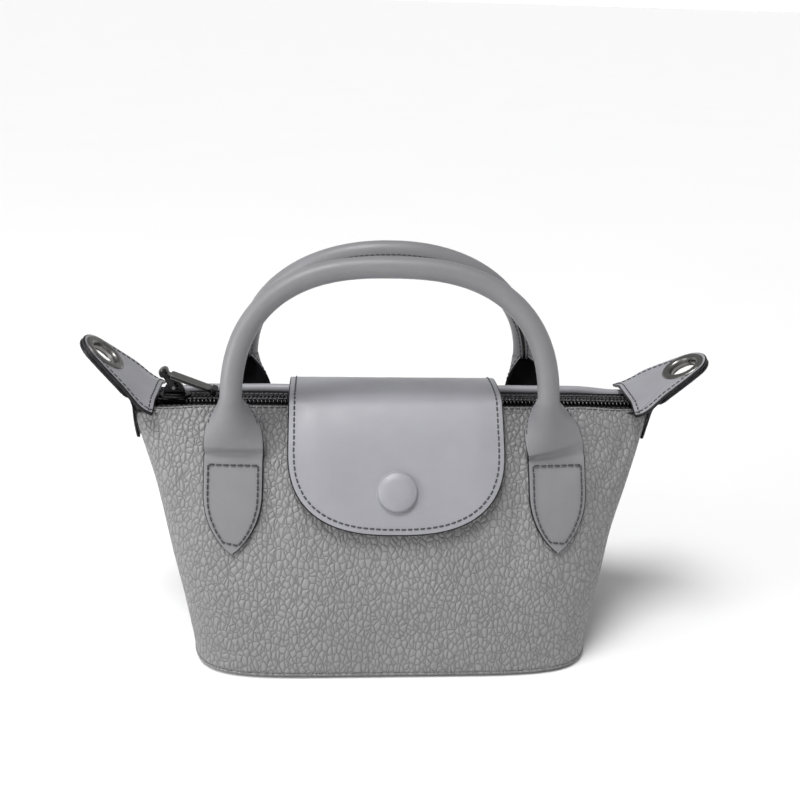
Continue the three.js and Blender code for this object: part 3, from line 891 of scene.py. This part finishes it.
def make_zip():
    for name, side in (("front", -1), ("rear", 1)):
        path = []
        for i in range(161):
            x = lerp(-ZIP_HALF, ZIP_HALF, i / 160)
            wave = noise.noise(Vector((x / MM * 0.07, side * 9.0, 1.0)))
            y = side * (BINDING_Y + 0.30 * MM * wave)
            path.append(Vector((x, y, RIM_Z - BINDING_R + 0.1 * MM + rim_sag(x) + 0.12 * MM * wave)))
        if side > 0:
            roll = tube(f"{name}_rim_roll", path, BINDING_R * 1.06, SMOOTH, 20)
            place(roll, "bag", "smooth_leather", f"{name}_rim_binding")

        columns = 120
        tape_rows = []
        for y in (2.2, 4.0, 6.4, 8.0, 9.6, 10.6):
            rise = 0.5 * MM * smoothstep((y - 3) / 7)
            row = []
            for i in range(columns + 1):
                x = lerp(-ZIP_HALF, ZIP_HALF, i / columns)
                row.append(Vector((x, side * y * MM, COIL_TOP - 1.5 * MM + rise + 0.5 * zip_sag(x))))
            tape_rows.append(row)
        top = [p for row in tape_rows for p in row]
        bottom = [p - Vector((0, 0, 0.45 * MM)) for p in top]
        faces, _ = slab_faces(len(tape_rows), columns + 1)
        ribbon = piece(f"{name}_tape", top + bottom, faces, [TAPE])
        place(ribbon, "bag", "zip_tape", f"zip_tape_{name}")

        make_coil(name, side)

    rows = []
    for y in (2.55, 5.2, 7.2):
        for side in (-1, 1):
            row = []
            for i in range(241):
                x = lerp(-ZIP_HALF, ZIP_HALF, i / 240)
                lift = COIL_TOP - 1.5 * MM + 0.5 * MM * smoothstep((y - 3) / 7)
                if y < 3:
                    lift = COIL_TOP + 0.42 * MM
                row.append((Vector((x, side * y * MM, lift + 0.5 * zip_sag(x))), Vector((0, 0, 1))))
            rows.append(row)
    sewing = stitches("zip_stitching", rows, ZIP_THREAD, pitch=1.9 * MM, length=1.55 * MM, radius=0.21 * MM)
    place(sewing, "bag", "zip_coil")
    for name in ("left", "right"):
        dress(f"zip_stop_{name}", METAL)


def make_coil(name, side):
    """One nylon spiral: long loops across the tape whose heads interlock with the other side's."""
    pitch = 1.5 * MM
    per_turn = 12
    sides = 6
    wire = 0.36 * MM
    turns = int(2 * (ZIP_HALF - 1.5 * MM) / pitch)
    shift = 0.25 * side * pitch
    path = []
    for i in range(turns * per_turn + 1):
        angle = 2 * math.pi * i / per_turn
        x = -ZIP_HALF + 1.5 * MM + shift + pitch * i / per_turn
        y = side * (1.45 * MM - 1.75 * MM * math.cos(angle))
        z = COIL_TOP - 0.75 * MM + 0.78 * MM * math.sin(angle) + 0.5 * zip_sag(x)
        path.append(Vector((x, y, z)))
    vertices = []
    for i, p in enumerate(path):
        along = (path[min(i + 1, len(path) - 1)] - path[max(i - 1, 0)]).normalized()
        across = along.cross(Vector((1, 0, 0))).normalized()
        other = along.cross(across)
        for s in range(sides):
            angle = 2 * math.pi * s / sides
            vertices.append(p + (across * math.cos(angle) + other * math.sin(angle)) * wire)
    coil = piece(f"{name}_coil", vertices, ring_faces(len(path), sides), [NYLON])
    place(coil, "bag", "zip_coil", f"zip_coil_{name}")


def move(x, y, z):
    return Matrix.Translation((x, y, z))


def turn(angle, axis):
    return Matrix.Rotation(angle, 4, axis)


ACROSS = turn(math.pi / 2, "X")  # turns a flat part's thickness into Y


def ellipse(half_x, half_y, count=48, power=2.0):
    loop = []
    for i in range(count):
        angle = 2 * math.pi * i / count
        c, s = math.cos(angle), math.sin(angle)
        x = half_x * math.copysign(abs(c) ** (2 / power), c)
        loop.append((x, half_y * math.copysign(abs(s) ** (2 / power), s)))
    return loop


def make_slider():
    """Zip slider with its bail, pull link and long pull bar."""
    top_z = COIL_TOP + 0.3 * MM
    plate_top = prism("plate_top", ellipse(SLIDER_L / 2, SLIDER_W / 2, 56, 2.3), 1.3 * MM, DARK_METAL,
                      move(SLIDER_X, 0, top_z + 0.65 * MM), bevel=0.45 * MM)
    crown = prism("crown", ellipse(4.4 * MM, 2.9 * MM, 48, 2.2), 0.9 * MM, DARK_METAL,
                  move(SLIDER_X, 0, top_z + 1.35 * MM), bevel=0.4 * MM)
    plate_low = prism("plate_low", ellipse(SLIDER_L / 2, SLIDER_W / 2, 56, 2.3), 1.3 * MM, DARK_METAL,
                      move(SLIDER_X, 0, COIL_TOP - 2.95 * MM), bevel=0.45 * MM)
    web = prism("web", ellipse(3.0 * MM, 0.24 * MM, 24), 4.0 * MM, DARK_METAL,
                move(SLIDER_X - 1.0 * MM, 0, COIL_TOP - 1.0 * MM), bevel=0.05 * MM)
    flanges = [
        prism(f"flange_{s}", ellipse(4.6 * MM, 0.45 * MM, 28, 3), 1.6 * MM, DARK_METAL,
              move(SLIDER_X, s * (SLIDER_W / 2 - 0.55 * MM), COIL_TOP - 0.05 * MM), bevel=0.2 * MM)
        for s in (-1, 1)
    ]
    body = joined("slider_body", [plate_top, crown, plate_low, web, *flanges])
    place(body, "slider", "gunmetal", "zip_slider")

    arch = [(-4.0, 0.0), (-3.9, 1.4), (-3.2, 3.0), (-1.6, 4.3), (0, 4.7)]
    arch += [(-x, y) for x, y in arch[-2::-1]]
    arch = [(p.x, p.y) for p in resample([(x * MM, y * MM, 0) for x, y in arch], 28)]
    upright = move(SLIDER_X, 0, BAIL_Z - 2.4 * MM) @ ACROSS
    window = [(x, y + 2.4 * MM) for x, y in ellipse(1.35 * MM, 1.35 * MM, 24)]
    bail = prism("slider_bail", arch, 1.8 * MM, DARK_METAL, upright, [window], bevel=0.35 * MM)
    place(bail, "slider", "gunmetal", "zip_slider_bail")

    link_frame = move(SLIDER_X, 0, BAIL_Z) @ turn(-LINK_LEAN, "Y")
    cheek = ((0, -1.5), (1.3, -0.8), (1.35, 1.5), (0.95, 4.2), (0.9, 7.0), (0, 7.9))
    cheek = resample([(x * MM, y * MM, 0) for x, y in cheek], 18)
    cheek = [(p.x, p.y) for p in cheek] + [(-p.x, p.y) for p in cheek[-2:0:-1]]
    parts = []
    for s in (-1, 1):
        parts.append(prism(f"cheek_{s}", cheek, 1.0 * MM, DARK_METAL,
                           link_frame @ move(0, s * 1.7 * MM, 0) @ ACROSS, bevel=0.3 * MM))
    parts.append(prism("link_pin", circle(0.75 * MM, 20), 4.6 * MM, METAL,
                       link_frame @ ACROSS, bevel=0.2 * MM))
    knurl = []
    for i in range(48):
        radius = (1.15 if i % 2 else 1.35) * MM
        angle = 2 * math.pi * i / 48
        knurl.append((radius * math.cos(angle), radius * math.sin(angle)))
    for s in (-1, 1):
        parts.append(prism(f"link_knob_{s}", knurl, 1.3 * MM, DARK_METAL,
                           link_frame @ move(0, s * 2.85 * MM, LINK_LEN) @ ACROSS, bevel=0.2 * MM))
    parts.append(prism("link_head", circle(0.9 * MM, 24), 5.2 * MM, METAL,
                       link_frame @ move(0, 0, LINK_LEN) @ ACROSS, bevel=0.1 * MM))
    place(joined("zip_link", parts), "link", "gunmetal", "pull_link")

    head_x = SLIDER_X - LINK_LEN * math.sin(LINK_LEAN)
    head_z = BAIL_Z + LINK_LEN * math.cos(LINK_LEAN)
    bar_frame = move(head_x, 0, head_z) @ turn(BAR_SLOPE, "Y")
    eye = prism("bar_eye", circle(1.95 * MM, 32), 1.9 * MM, METAL, bar_frame @ ACROSS,
                [circle(1.15 * MM, 24)], bevel=0.25 * MM)
    stem = prism("bar_stem", ellipse(2.0 * MM, 0.95 * MM, 24, 5), 1.2 * MM, METAL,
                 bar_frame @ move(3.0 * MM, 0, 0), bevel=0.2 * MM)
    blade_half = (BAR_LEN - 5.0 * MM) / 2
    blade = prism("bar_blade", ellipse(blade_half, 2.6 * MM, 72, 14), 1.6 * MM, METAL,
                  bar_frame @ move(2.7 * MM + blade_half, 0, 0), bevel=0.22 * MM)
    core = prism("bar_core", ellipse(blade_half - 0.2 * MM, 2.72 * MM, 72, 14), 0.9 * MM, DARK_METAL,
                 bar_frame @ move(2.7 * MM + blade_half, 0, 0), bevel=0.15 * MM)
    place(joined("zip_pull", [eye, stem, blade, core]), "pull", "gunmetal", "pull_bar")
    cap = prism("zip_pull_end", ellipse(1.15 * MM, 2.95 * MM, 40, 6), 2.4 * MM, DARK_METAL,
                bar_frame @ move(BAR_LEN - 1.1 * MM, 0, 0), bevel=0.35 * MM)
    place(cap, "pull", "gunmetal", "pull_bar_end")


# ---- flap ---------------------------------------------------------------------------------------
def flap_profile():
    """The flap's underside seen from the side: up the back, over the zip, down the front. (y, z)."""
    points = []
    for i in range(14):
        p, _ = surface(1, 0, lerp(ROOT_LOW_Z, ROOT_TOP_Z, i / 13), ROOT_NEAR)
        points.append(Vector((p.y, p.z)))
    behind = ((15.6, 94.6), (13.0, 96.7), (9.0, 97.6))
    over = ((2.0, 98.1), (-5.0, 98.2), (-10.0, 98.0), (-13.2, 97.2))
    points += [Vector((y * MM, z * MM)) for y, z in behind + over]
    for i in range(1, 20):
        p, _ = surface(-1, 0, lerp(93.6 * MM, FLAP_TIP_Z, i / 19), FLAP_NEAR)
        points.append(Vector((p.y, p.z)))
    points = resample(points, 160)
    for _ in range(14):
        middle = [(a + b * 2 + c) / 4 for a, b, c in zip(points, points[1:], points[2:])]
        points = [points[0], *middle, points[-1]]
    return resample(points, 200)


FLAP_LINE = flap_profile()
FLAP_STEP = (FLAP_LINE[1] - FLAP_LINE[0]).length
FLAP_LENGTH = FLAP_STEP * (len(FLAP_LINE) - 1)


def flap_point(x, s, off):
    """A point on the flap: x across, s along from the root, off out of its underside."""
    k = clamp(s / FLAP_STEP, 0, len(FLAP_LINE) - 1.001)
    i = int(k)
    here = FLAP_LINE[i].lerp(FLAP_LINE[i + 1], k - i)
    before = FLAP_LINE[max(i - 2, 0)]
    after = FLAP_LINE[min(i + 3, len(FLAP_LINE) - 1)]
    along = (after - before).normalized()
    normal = Vector((along.y, -along.x))
    y, z = here.x, here.y
    side = 1 if y > 0 else -1
    weight = smoothstep((abs(y) - 12 * MM) / (5 * MM))
    bend = (depth_at(x, min(z, 94 * MM)) - depth_at(0, min(z, 94 * MM))) * side * weight
    if side < 0:
        edge = smoothstep((abs(x) / FLAP_HALF_X - 0.72) / 0.28)
        curl = -0.5 * MM * edge * weight
        curl += 0.35 * MM * noise.noise(Vector((x / MM * 0.03, z / MM * 0.04, 2.0))) * weight
    else:
        point = Vector((x, y, z))
        curl = (relief(1, point) - relief(1, Vector((0, y, z)))) * weight
    out = off + curl
    return Vector((x, y + bend + normal.x * out, z + normal.y * out))


def flap_normal(x, s):
    return (flap_point(x, s, 1 * MM) - flap_point(x, s, 0)).normalized()


def flap_outline():
    bend = next(i for i, p in enumerate(FLAP_LINE) if p.x < -12 * MM and p.y < FLAP_STRAIGHT_Z)
    straight = bend * FLAP_STEP
    right = [(FLAP_HALF_X, lerp(1.5 * MM, straight, i / 40)) for i in range(41)]
    for i in range(1, 61):
        angle = i / 60 * math.pi / 2
        x = FLAP_HALF_X * math.cos(angle) ** (2 / 2.6)
        right.append((x, straight + (FLAP_LENGTH - straight) * math.sin(angle) ** (2 / 2.6)))
    root = [(FLAP_HALF_X - 1.5 * MM, 0.35 * MM), (FLAP_HALF_X - 3 * MM, 0.0)]
    right = [(0.0, 0.0), *root[::-1], *right]
    left = [(-x, s) for x, s in right[-2:0:-1]]
    loop = resample([Vector(p) for p in right + left + [right[0]]], 460)
    return loop[:-1]


def make_flap():
    loop = counterclockwise(flap_outline())
    centre = (0, FLAP_LENGTH * 0.52)
    leather = sheet("flap_leather", loop, centre, flap_point, LEATHER, [SMOOTH, EDGE, LINING], rings=46)
    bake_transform(leather)
    finish_piece(leather, "smooth_leather", "flap_root", "flap_bridge", "flap_tongue")

    inner = inset_loop(loop, 2.4 * MM)
    row = [(flap_point(p.x, p.y, LEATHER), flap_normal(p.x, p.y)) for p in inner + inner[:1]]
    sewing = stitches("flap_stitching", [row], THREAD)
    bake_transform(sewing)
    finish_piece(sewing, "smooth_leather")

    cut = next(i for i, p in enumerate(FLAP_LINE) if p.x < -14.5 * MM) * FLAP_STEP
    kept = []
    for p in [Vector((p.x, max(p.y, cut))) for p in inset_loop(loop, 1.2 * MM)]:
        if not kept or (p - kept[-1]).length > 0.2 * MM:
            kept.append(p)
    flat = resample([*kept, kept[0]], 300)[:-1]
    under = sheet("flap_under", flat, (0, (cut + FLAP_LENGTH) / 2),
                  lambda x, s, off: flap_point(x, s, off - 0.75 * MM), 0.6 * MM, [LINING, EDGE, LINING],
                  rings=16, round_r=0.2 * MM)
    place(under, "flap", "black_lining", "flap_lining")

    front = [k for k, p in enumerate(FLAP_LINE) if p.x <= 0]
    s = min(front, key=lambda k: abs(FLAP_LINE[k].y - SNAP_Z)) * FLAP_STEP
    facing = flap_normal(0, s).to_track_quat("Z", "Y").to_matrix().to_4x4()
    seat = Matrix.Translation(flap_point(0, s, LEATHER)) @ facing
    profile = rounded([(0, -0.3), (6.9, -0.3), (7.5, 0.7), (7.0, 1.7), (4.8, 2.5), (0, 2.9)], 1.6, 8)
    cap = turned("snap_cover", [(r * MM, h * MM) for r, h in profile], SMOOTH, seat, 96)
    place(cap, "flap", "smooth_leather", "snap_cap")
    lip = rounded([(6.6, -0.35), (7.7, -0.35), (7.85, 0.0), (7.6, 0.18), (6.6, 0.1)], 0.15, 3)
    ring = turned("snap_lip", [(r * MM, h * MM) for r, h in [*lip, lip[0]]], SMOOTH, seat, 96)
    place(ring, "flap", "smooth_leather")
    for node in ("snap_socket", "snap_stud", "snap_washer"):
        dress(node, METAL)


# ---- handles ------------------------------------------------------------------------------------
def foot_half(z):
    t = clamp((z - FOOT_TIP_Z) / FOOT_POINT)
    return max(0.8 * MM, FOOT_HALF * math.sin(t**0.75 * math.pi / 2))


def arch_centres(side, arch):
    """The rolled grip's centre line from the left neck to the right one."""
    points = [Vector((arch["x"] - arch["half"], side * NECK_Y, NECK_TOP_Z))]
    for i in range(1, 120):
        angle = i / 120 * math.pi
        lift = math.sin(angle) ** (2 / arch["power"])
        c = -math.cos(angle)
        x = arch["x"] + arch["half"] * math.copysign(abs(c) ** (2 / arch["power"]), c)
        z = ARCH_LOW_Z + arch["rise"] * lift
        if z > NECK_TOP_Z + 2 * MM:
            points.append(Vector((x, side * lerp(NECK_Y, ARCH_APEX_Y, lift**1.3), z)))
    points.append(Vector((arch["x"] + arch["half"], side * NECK_Y, NECK_TOP_Z)))
    return resample(points, 130)


def leg_stations(side, sign, arch):
    """From a foot's tip up to the grip: point, outward, roll angle, width, how much it hugs the body."""
    stations = []
    for i in range(36):
        z = lerp(FOOT_TIP_Z, FOOT_FOLD_Z, (i / 35) ** 1.25)
        p, n = surface(side, sign * FOOT_X, z, FOOT_NEAR + STRAP_T)
        stations.append([p, n, 0.0, 2 * foot_half(z), 1.0])
    low = stations[-1][0]
    out_low = stations[-1][1]
    steps = 30
    for i in range(1, steps + 1):
        t = i / steps
        z = lerp(low.z, NECK_TOP_Z, t)
        x = lerp(sign * FOOT_X, arch["x"] + sign * arch["half"], smoothstep(t))
        y = lerp(low.y, side * (NECK_Y + GRIP_R), smoothstep(t) * 0.5 + t * 0.5)
        outward = out_low.lerp(Vector((0, side, 0)), smoothstep(t)).normalized()
        hug = 1 - smoothstep(t / 0.18)
        width = lerp(2 * FOOT_HALF, GRIP_WIDTH, t)
        stations.append([Vector((x, y, z)), outward, GRIP_TURN * t**1.55, width, hug])
    return stations


def handle_stations(side, arch):
    """Stations from the left foot's tip over the grip to the right foot's tip."""
    stations = leg_stations(side, -1, arch)
    centres = arch_centres(side, arch)
    for before, c, after in zip(centres, centres[1:], centres[2:]):
        along = (after - before).normalized()
        seam = Vector((0, -side * 0.88, -0.47))
        seam = (seam - along * seam.dot(along)).normalized()
        stations.append([c - seam * GRIP_R, -seam, GRIP_TURN, GRIP_WIDTH, 0.0])
    stations += leg_stations(side, 1, arch)[::-1]
    for i, station in enumerate(stations):
        ahead = stations[min(i + 1, len(stations) - 1)][0]
        behind = stations[max(i - 1, 0)][0]
        along = (ahead - behind).normalized()
        outward = (station[1] - along * station[1].dot(along)).normalized()
        station[1] = outward
        station.append(along.cross(outward))
    return stations


def strap_point(side, station, q, off):
    """A point on the strap: q across from its middle line, off above its outer face."""
    middle, outward, roll, width, hug, across = station
    if roll < 0.02:
        point = middle + across * q + outward * off
    else:
        radius = width / roll
        angle = q / radius
        out = outward * math.cos(angle) + across * math.sin(angle)
        point = middle - outward * radius + out * (radius + off)
    if hug > 0:
        on_body, _ = surface(side, point.x, point.z, FOOT_NEAR + STRAP_T + off)
        point.y = lerp(point.y, on_body.y, hug)
    return point


def make_handle(name, side):
    stations = handle_stations(side, ARCHES[name])
    r = 0.35 * MM
    columns = 26
    vertices = []
    for station in stations:
        half = station[3] / 2
        squeeze = min(r, half * 0.4)
        inside = half - squeeze
        section = [(-half, -STRAP_T + squeeze), (-half, -squeeze)]
        section.append((-half + 0.3 * squeeze, -0.29 * squeeze))
        for c in range(columns + 1):
            section.append((lerp(-inside, inside, c / columns), 0.0))
        section.append((half - 0.3 * squeeze, -0.29 * squeeze))
        section += [(half, -squeeze), (half, -STRAP_T + squeeze)]
        section.append((half - 0.3 * squeeze, -STRAP_T + 0.29 * squeeze))
        for c in range(columns + 1):
            section.append((lerp(inside, -inside, c / columns), -STRAP_T))
        section.append((-half + 0.3 * squeeze, -STRAP_T + 0.29 * squeeze))
        vertices += [strap_point(side, station, q, off) for q, off in section]
    around = 2 * columns + 10
    face_kind = []
    for k in range(around):
        if 3 <= k < 3 + columns:
            face_kind.append(0)
        elif columns + 8 <= k < 2 * columns + 8:
            face_kind.append(2)
        else:
            face_kind.append(1)
    faces = ring_faces(len(stations), around)
    looks = face_kind * (len(stations) - 1) + [1, 1]
    # The strap's outer face takes the darker copy of the smooth leather: painted shade.
    leather = piece(f"{name}_handle_leather", vertices, faces, [HANDLE_SHADED_LEATHER, EDGE, LINING], looks)
    body = f"{name}_handle"
    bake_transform(leather)
    nodes = [f"{name}_handle_{part}_{hand}" for part in ("foot", "neck") for hand in ("left", "right")]
    finish_piece(leather, "smooth_leather", f"{name}_handle_grip", *nodes)

    rows = []
    seam_from = next(i for i, s in enumerate(stations) if s[2] > 0.34 * GRIP_TURN)
    for sign in (-1, 1):
        row = []
        for station in stations[seam_from:len(stations) - seam_from]:
            q = sign * (station[3] / 2 - 1.25 * MM)
            a = strap_point(side, station, q, 0)
            b = strap_point(side, station, q, 1 * MM)
            row.append((a, (b - a).normalized()))
        rows.append(row)
    seam = stitches(f"{name}_handle_seam", rows, THREAD, pitch=2.0 * MM, length=1.5 * MM, radius=0.2 * MM)
    place(seam, body, "smooth_leather")

    rows = []
    for sign in (-1, 1):
        def at(q, z):
            return surface(side, sign * FOOT_X + q, z, FOOT_NEAR + STRAP_T)

        loop = []
        inset = 1.9 * MM
        for i in range(41):
            z = lerp(FOOT_ROW_Z, FOOT_TIP_Z + 3.2 * MM, i / 40)
            loop.append((max(foot_half(z) - inset, 0.0), z))
        path = [at(q, z) for q, z in loop] + [at(-q, z) for q, z in loop[-2::-1]]
        rows.append(path)
        half = FOOT_HALF - inset
        rows.append([at(lerp(-half, half, i / 12), FOOT_ROW_Z) for i in range(13)])
    sewing = stitches(f"{name}_handle_stitching", rows, THREAD)
    place(sewing, "bag", "smooth_leather")
    dress(f"{name}_handle_core", FOAM)


# ---- eyelet tabs --------------------------------------------------------------------------------
TAB_EYE_AT = 25.3 * MM
TAB_LEAVE = 10 * MM


def tab_track(spec):
    """Side view of a tab, (x, z, tilt) from its inner end out: it lies on the rim, then rises straight."""
    step = 0.25 * MM
    count = round((TAB_EYE_AT + TAB_END_R + 2 * MM) / step)

    def walk(flat):
        x, z = spec["x"], spec["z"]
        track = {}
        first = round(TAB_EYE_AT / step)
        for i in range(first, -1, -1):
            tilt = spec["tilt"] * lerp(flat, 1, smoothstep(i * step / (12 * MM)))
            track[i] = (x, z, tilt)
            x -= math.cos(tilt) * step
            z -= math.sin(tilt) * step
        x, z = spec["x"], spec["z"]
        for i in range(first, count + 1):
            track[i] = (x, z, spec["tilt"])
            x += math.cos(spec["tilt"]) * step
            z += math.sin(spec["tilt"]) * step
        return [track[i] for i in range(count + 1)]

    low, high = -0.6, 1.0
    for _ in range(20):
        middle = (low + high) / 2
        if walk(middle)[0][1] < RIM_Z + 0.2 * MM:
            high = middle
        else:
            low = middle
    return walk(low), step


def tab_point(spec, s, y, off):
    track, step = spec["track"]
    k = clamp(s / step, 0, len(track) - 1.001)
    i = int(k)
    x, z, tilt = (lerp(a, b, k - i) for a, b in zip(track[i], track[i + 1]))
    x += min(s, 0)
    droop = 2.4 * MM * smoothstep((abs(y) - 8 * MM) / (10 * MM))
    droop *= 1 - smoothstep((s - 1 * MM) / (14 * MM))
    return Vector((spec["sign"] * (x - math.sin(tilt) * off), y, z + math.cos(tilt) * off - droop))


def tab_loop():
    half = [(0.0, TAB_HALF), (3 * MM, TAB_HALF)]
    start = Vector((5 * MM, TAB_HALF - 0.3 * MM))
    turn_at = math.radians(62)
    end = Vector((TAB_EYE_AT + TAB_END_R * math.cos(turn_at), TAB_END_R * math.sin(turn_at)))
    middle = Vector((TAB_EYE_AT - 5 * MM, TAB_END_R + 3.0 * MM))
    for i in range(21):
        t = i / 20
        p = start.lerp(middle, t).lerp(middle.lerp(end, t), t)
        half.append((p.x, p.y))
    for i in range(1, 13):
        angle = turn_at * (1 - i / 12)
        half.append((TAB_EYE_AT + TAB_END_R * math.cos(angle), TAB_END_R * math.sin(angle)))
    loop = [Vector(p) for p in half + [(s, -y) for s, y in half[-2::-1]]]
    return counterclockwise(resample([*loop, loop[0]], 220)[:-1])


def side_strip_point(spec, s, y, off):
    """The lower layer: from the eyelet end along under the upper one, then down the side seam."""
    under = -TAB_T - 0.3 * MM + off
    if s >= TAB_LEAVE:
        return tab_point(spec, s, y, under)
    top = tab_point(spec, TAB_LEAVE, y, under)
    z = 81 * MM + (s / TAB_LEAVE) * 9 * MM
    a, b, power = half_sizes(z)
    x = a * max(0.0, 1 - clamp(abs(y) / b) ** power) ** (1 / power) + 0.2 * MM + off
    wall = Vector((spec["sign"] * x, y, z))
    return wall.lerp(top, smoothstep(s / TAB_LEAVE) ** 1.4)


def make_tab(name):
    spec = TABS[name]
    spec["track"] = tab_track(spec)
    sign = spec["sign"]
    body = f"{name}_tab"
    loop = tab_loop()
    centre = (TAB_EYE_AT, 0)
    upper = sheet(f"{name}_tab_top", loop, centre, lambda s, y, off: tab_point(spec, s, y, off), TAB_T,
                  [SMOOTH, EDGE, SMOOTH], rings=26, hole_r=EYELET_HOLE_R + 1.0 * MM)
    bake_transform(upper)
    finish_piece(upper, "smooth_leather", f"{name}_tab_upper", f"{name}_tab_root_upper")

    narrow = []
    for p in loop:
        keep = smoothstep((p.x - 2 * MM) / (11 * MM))
        narrow.append(Vector((p.x, p.y * lerp(0.5, 0.985, keep))))
    lower = sheet(f"{name}_tab_under", narrow, centre, lambda s, y, off: side_strip_point(spec, s, y, off),
                  TAB_T, [SMOOTH, EDGE, SMOOTH], rings=26, hole_r=EYELET_HOLE_R + 1.0 * MM)
    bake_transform(lower)
    finish_piece(lower, "smooth_leather", f"{name}_tab_lower", f"{name}_tab_root_lower")

    inner = inset_loop(loop, 2.0 * MM)
    row = []
    for p in inner + inner[:1]:
        a = tab_point(spec, p.x, p.y, TAB_T)
        b = tab_point(spec, p.x, p.y, TAB_T + 1 * MM)
        row.append((a, (b - a).normalized()))
    sewing = stitches(f"{name}_tab_stitching", [row], THREAD, radius=0.22 * MM)
    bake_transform(sewing)
    finish_piece(sewing, "smooth_leather")

    seat = Matrix.Translation((sign * spec["x"], 0, spec["z"])) @ turn(-sign * spec["tilt"], "Y")
    face = TAB_T / MM + 0.02
    hole, rim = EYELET_HOLE_R / MM, EYELET_R / MM
    top = [(hole, 0), (hole + 0.25, face - 0.2), (hole + 0.95, face + 0.55), (rim - 0.45, face + 0.5)]
    edge = [(rim, face + 0.05), (rim - 0.3, face - 0.1), (hole + 0.9, face - 0.1)]
    barrel = [(hole + 0.9, -face - 0.05), (hole + 0.2, -face - 0.1), (hole, 0)]
    flange = rounded(top + edge + barrel, 0.4, 4)
    eyelet = turned(f"{name}_eyelet_ring", [(r * MM, h * MM) for r, h in flange], METAL, seat, 96)
    place(eyelet, body, "gunmetal", f"{name}_eyelet")
    low = -face - 0.3
    under = [(hole + 0.3, low - 0.35), (rim - 0.4, low - 0.3), (rim, low + 0.1), (hole + 0.3, low + 0.2)]
    washer = rounded([*under, under[0]], 0.3, 4)
    back = turned(f"{name}_eyelet_back", [(r * MM, h * MM) for r, h in washer], METAL, seat, 96)
    place(back, body, "gunmetal", f"{name}_eyelet_washer")


# ---- stage --------------------------------------------------------------------------------------
def make_stage():
    """A wide pale floor, a world that is bright at the horizon, and two lights."""
    mesh = bpy.data.meshes.new("floor")
    size = 30.0
    corners = [(-size, -size, 0), (size, -size, 0), (size, size, 0), (-size, size, 0)]
    mesh.from_pydata(corners, [], [(0, 1, 2, 3)])
    m = Nodes("floor")
    m.link(m.mix(m.noise(6, 2), (0.84, 0.84, 0.84), (0.86, 0.86, 0.86)), m.shader.inputs["Base Color"])
    m.set(Roughness=0.9)
    mesh.materials.append(m.material)
    floor = bpy.data.objects.new("floor", mesh)
    bpy.context.scene.collection.objects.link(floor)

    world = bpy.data.worlds.new("studio")
    world.use_nodes = True
    tree = world.node_tree
    background = tree.nodes["Background"]
    background.inputs["Color"].default_value = (1, 1, 1, 1)
    direction = tree.nodes.new("ShaderNodeTexCoord").outputs["Generated"]
    split = tree.nodes.new("ShaderNodeSeparateXYZ")
    tree.links.new(direction, split.inputs[0])
    height = tree.nodes.new("ShaderNodeMapRange")
    tree.links.new(split.outputs["Z"], height.inputs["Value"])
    for key, number in (("From Min", 0.10), ("From Max", 0.24), ("To Min", 1.02), ("To Max", 0.36)):
        height.inputs[key].default_value = number
    tree.links.new(height.outputs["Result"], background.inputs["Strength"])
    bpy.context.scene.world = world

    def light(kind, name, at, power, **settings):
        data = bpy.data.lights.new(name, kind)
        data.energy = power
        for key, value in settings.items():
            setattr(data, key, value)
        obj = bpy.data.objects.new(name, data)
        obj.location = at
        obj.rotation_euler = (Vector((0, 0, 0.06)) - Vector(at)).to_track_quat("-Z", "Y").to_euler()
        bpy.context.scene.collection.objects.link(obj)

    light("SUN", "key", (-0.20, -0.22, 0.95), 2.55, angle=math.radians(24))
    light("AREA", "strip", (-0.62, -0.30, 0.34), 2.3, shape="RECTANGLE", size=0.22, size_y=0.4)


def make_camera():
    """Camera at the photograph's viewing angle: a little above the rim and a little to the left."""
    elevation = math.radians(21.1)
    azimuth = math.radians(-4.1)
    roll = math.radians(1.8)
    distance = 0.4118
    target = Vector((0.0024, 0, 0.0934))
    level = math.cos(elevation)
    away = Vector((math.sin(azimuth) * level, -math.cos(azimuth) * level, math.sin(elevation)))
    data = bpy.data.cameras.new("camera")
    data.sensor_width = 36
    data.lens = 47.69
    data.clip_start = 0.01
    camera = bpy.data.objects.new("camera", data)
    camera.matrix_world = (Matrix.Translation(target + away * distance)
                           @ (-away).to_track_quat("-Z", "Y").to_matrix().to_4x4() @ turn(roll, "Z"))
    bpy.context.scene.collection.objects.link(camera)
    bpy.context.scene.camera = camera


make_camera()
make_stage()
make_body()
make_zip()
make_slider()
make_flap()
make_handle("front", -1)
make_handle("rear", 1)
make_tab("left")
make_tab("right")
bpy.context.scene.view_settings.view_transform = "Standard"

bpy.context.view_layer.update()
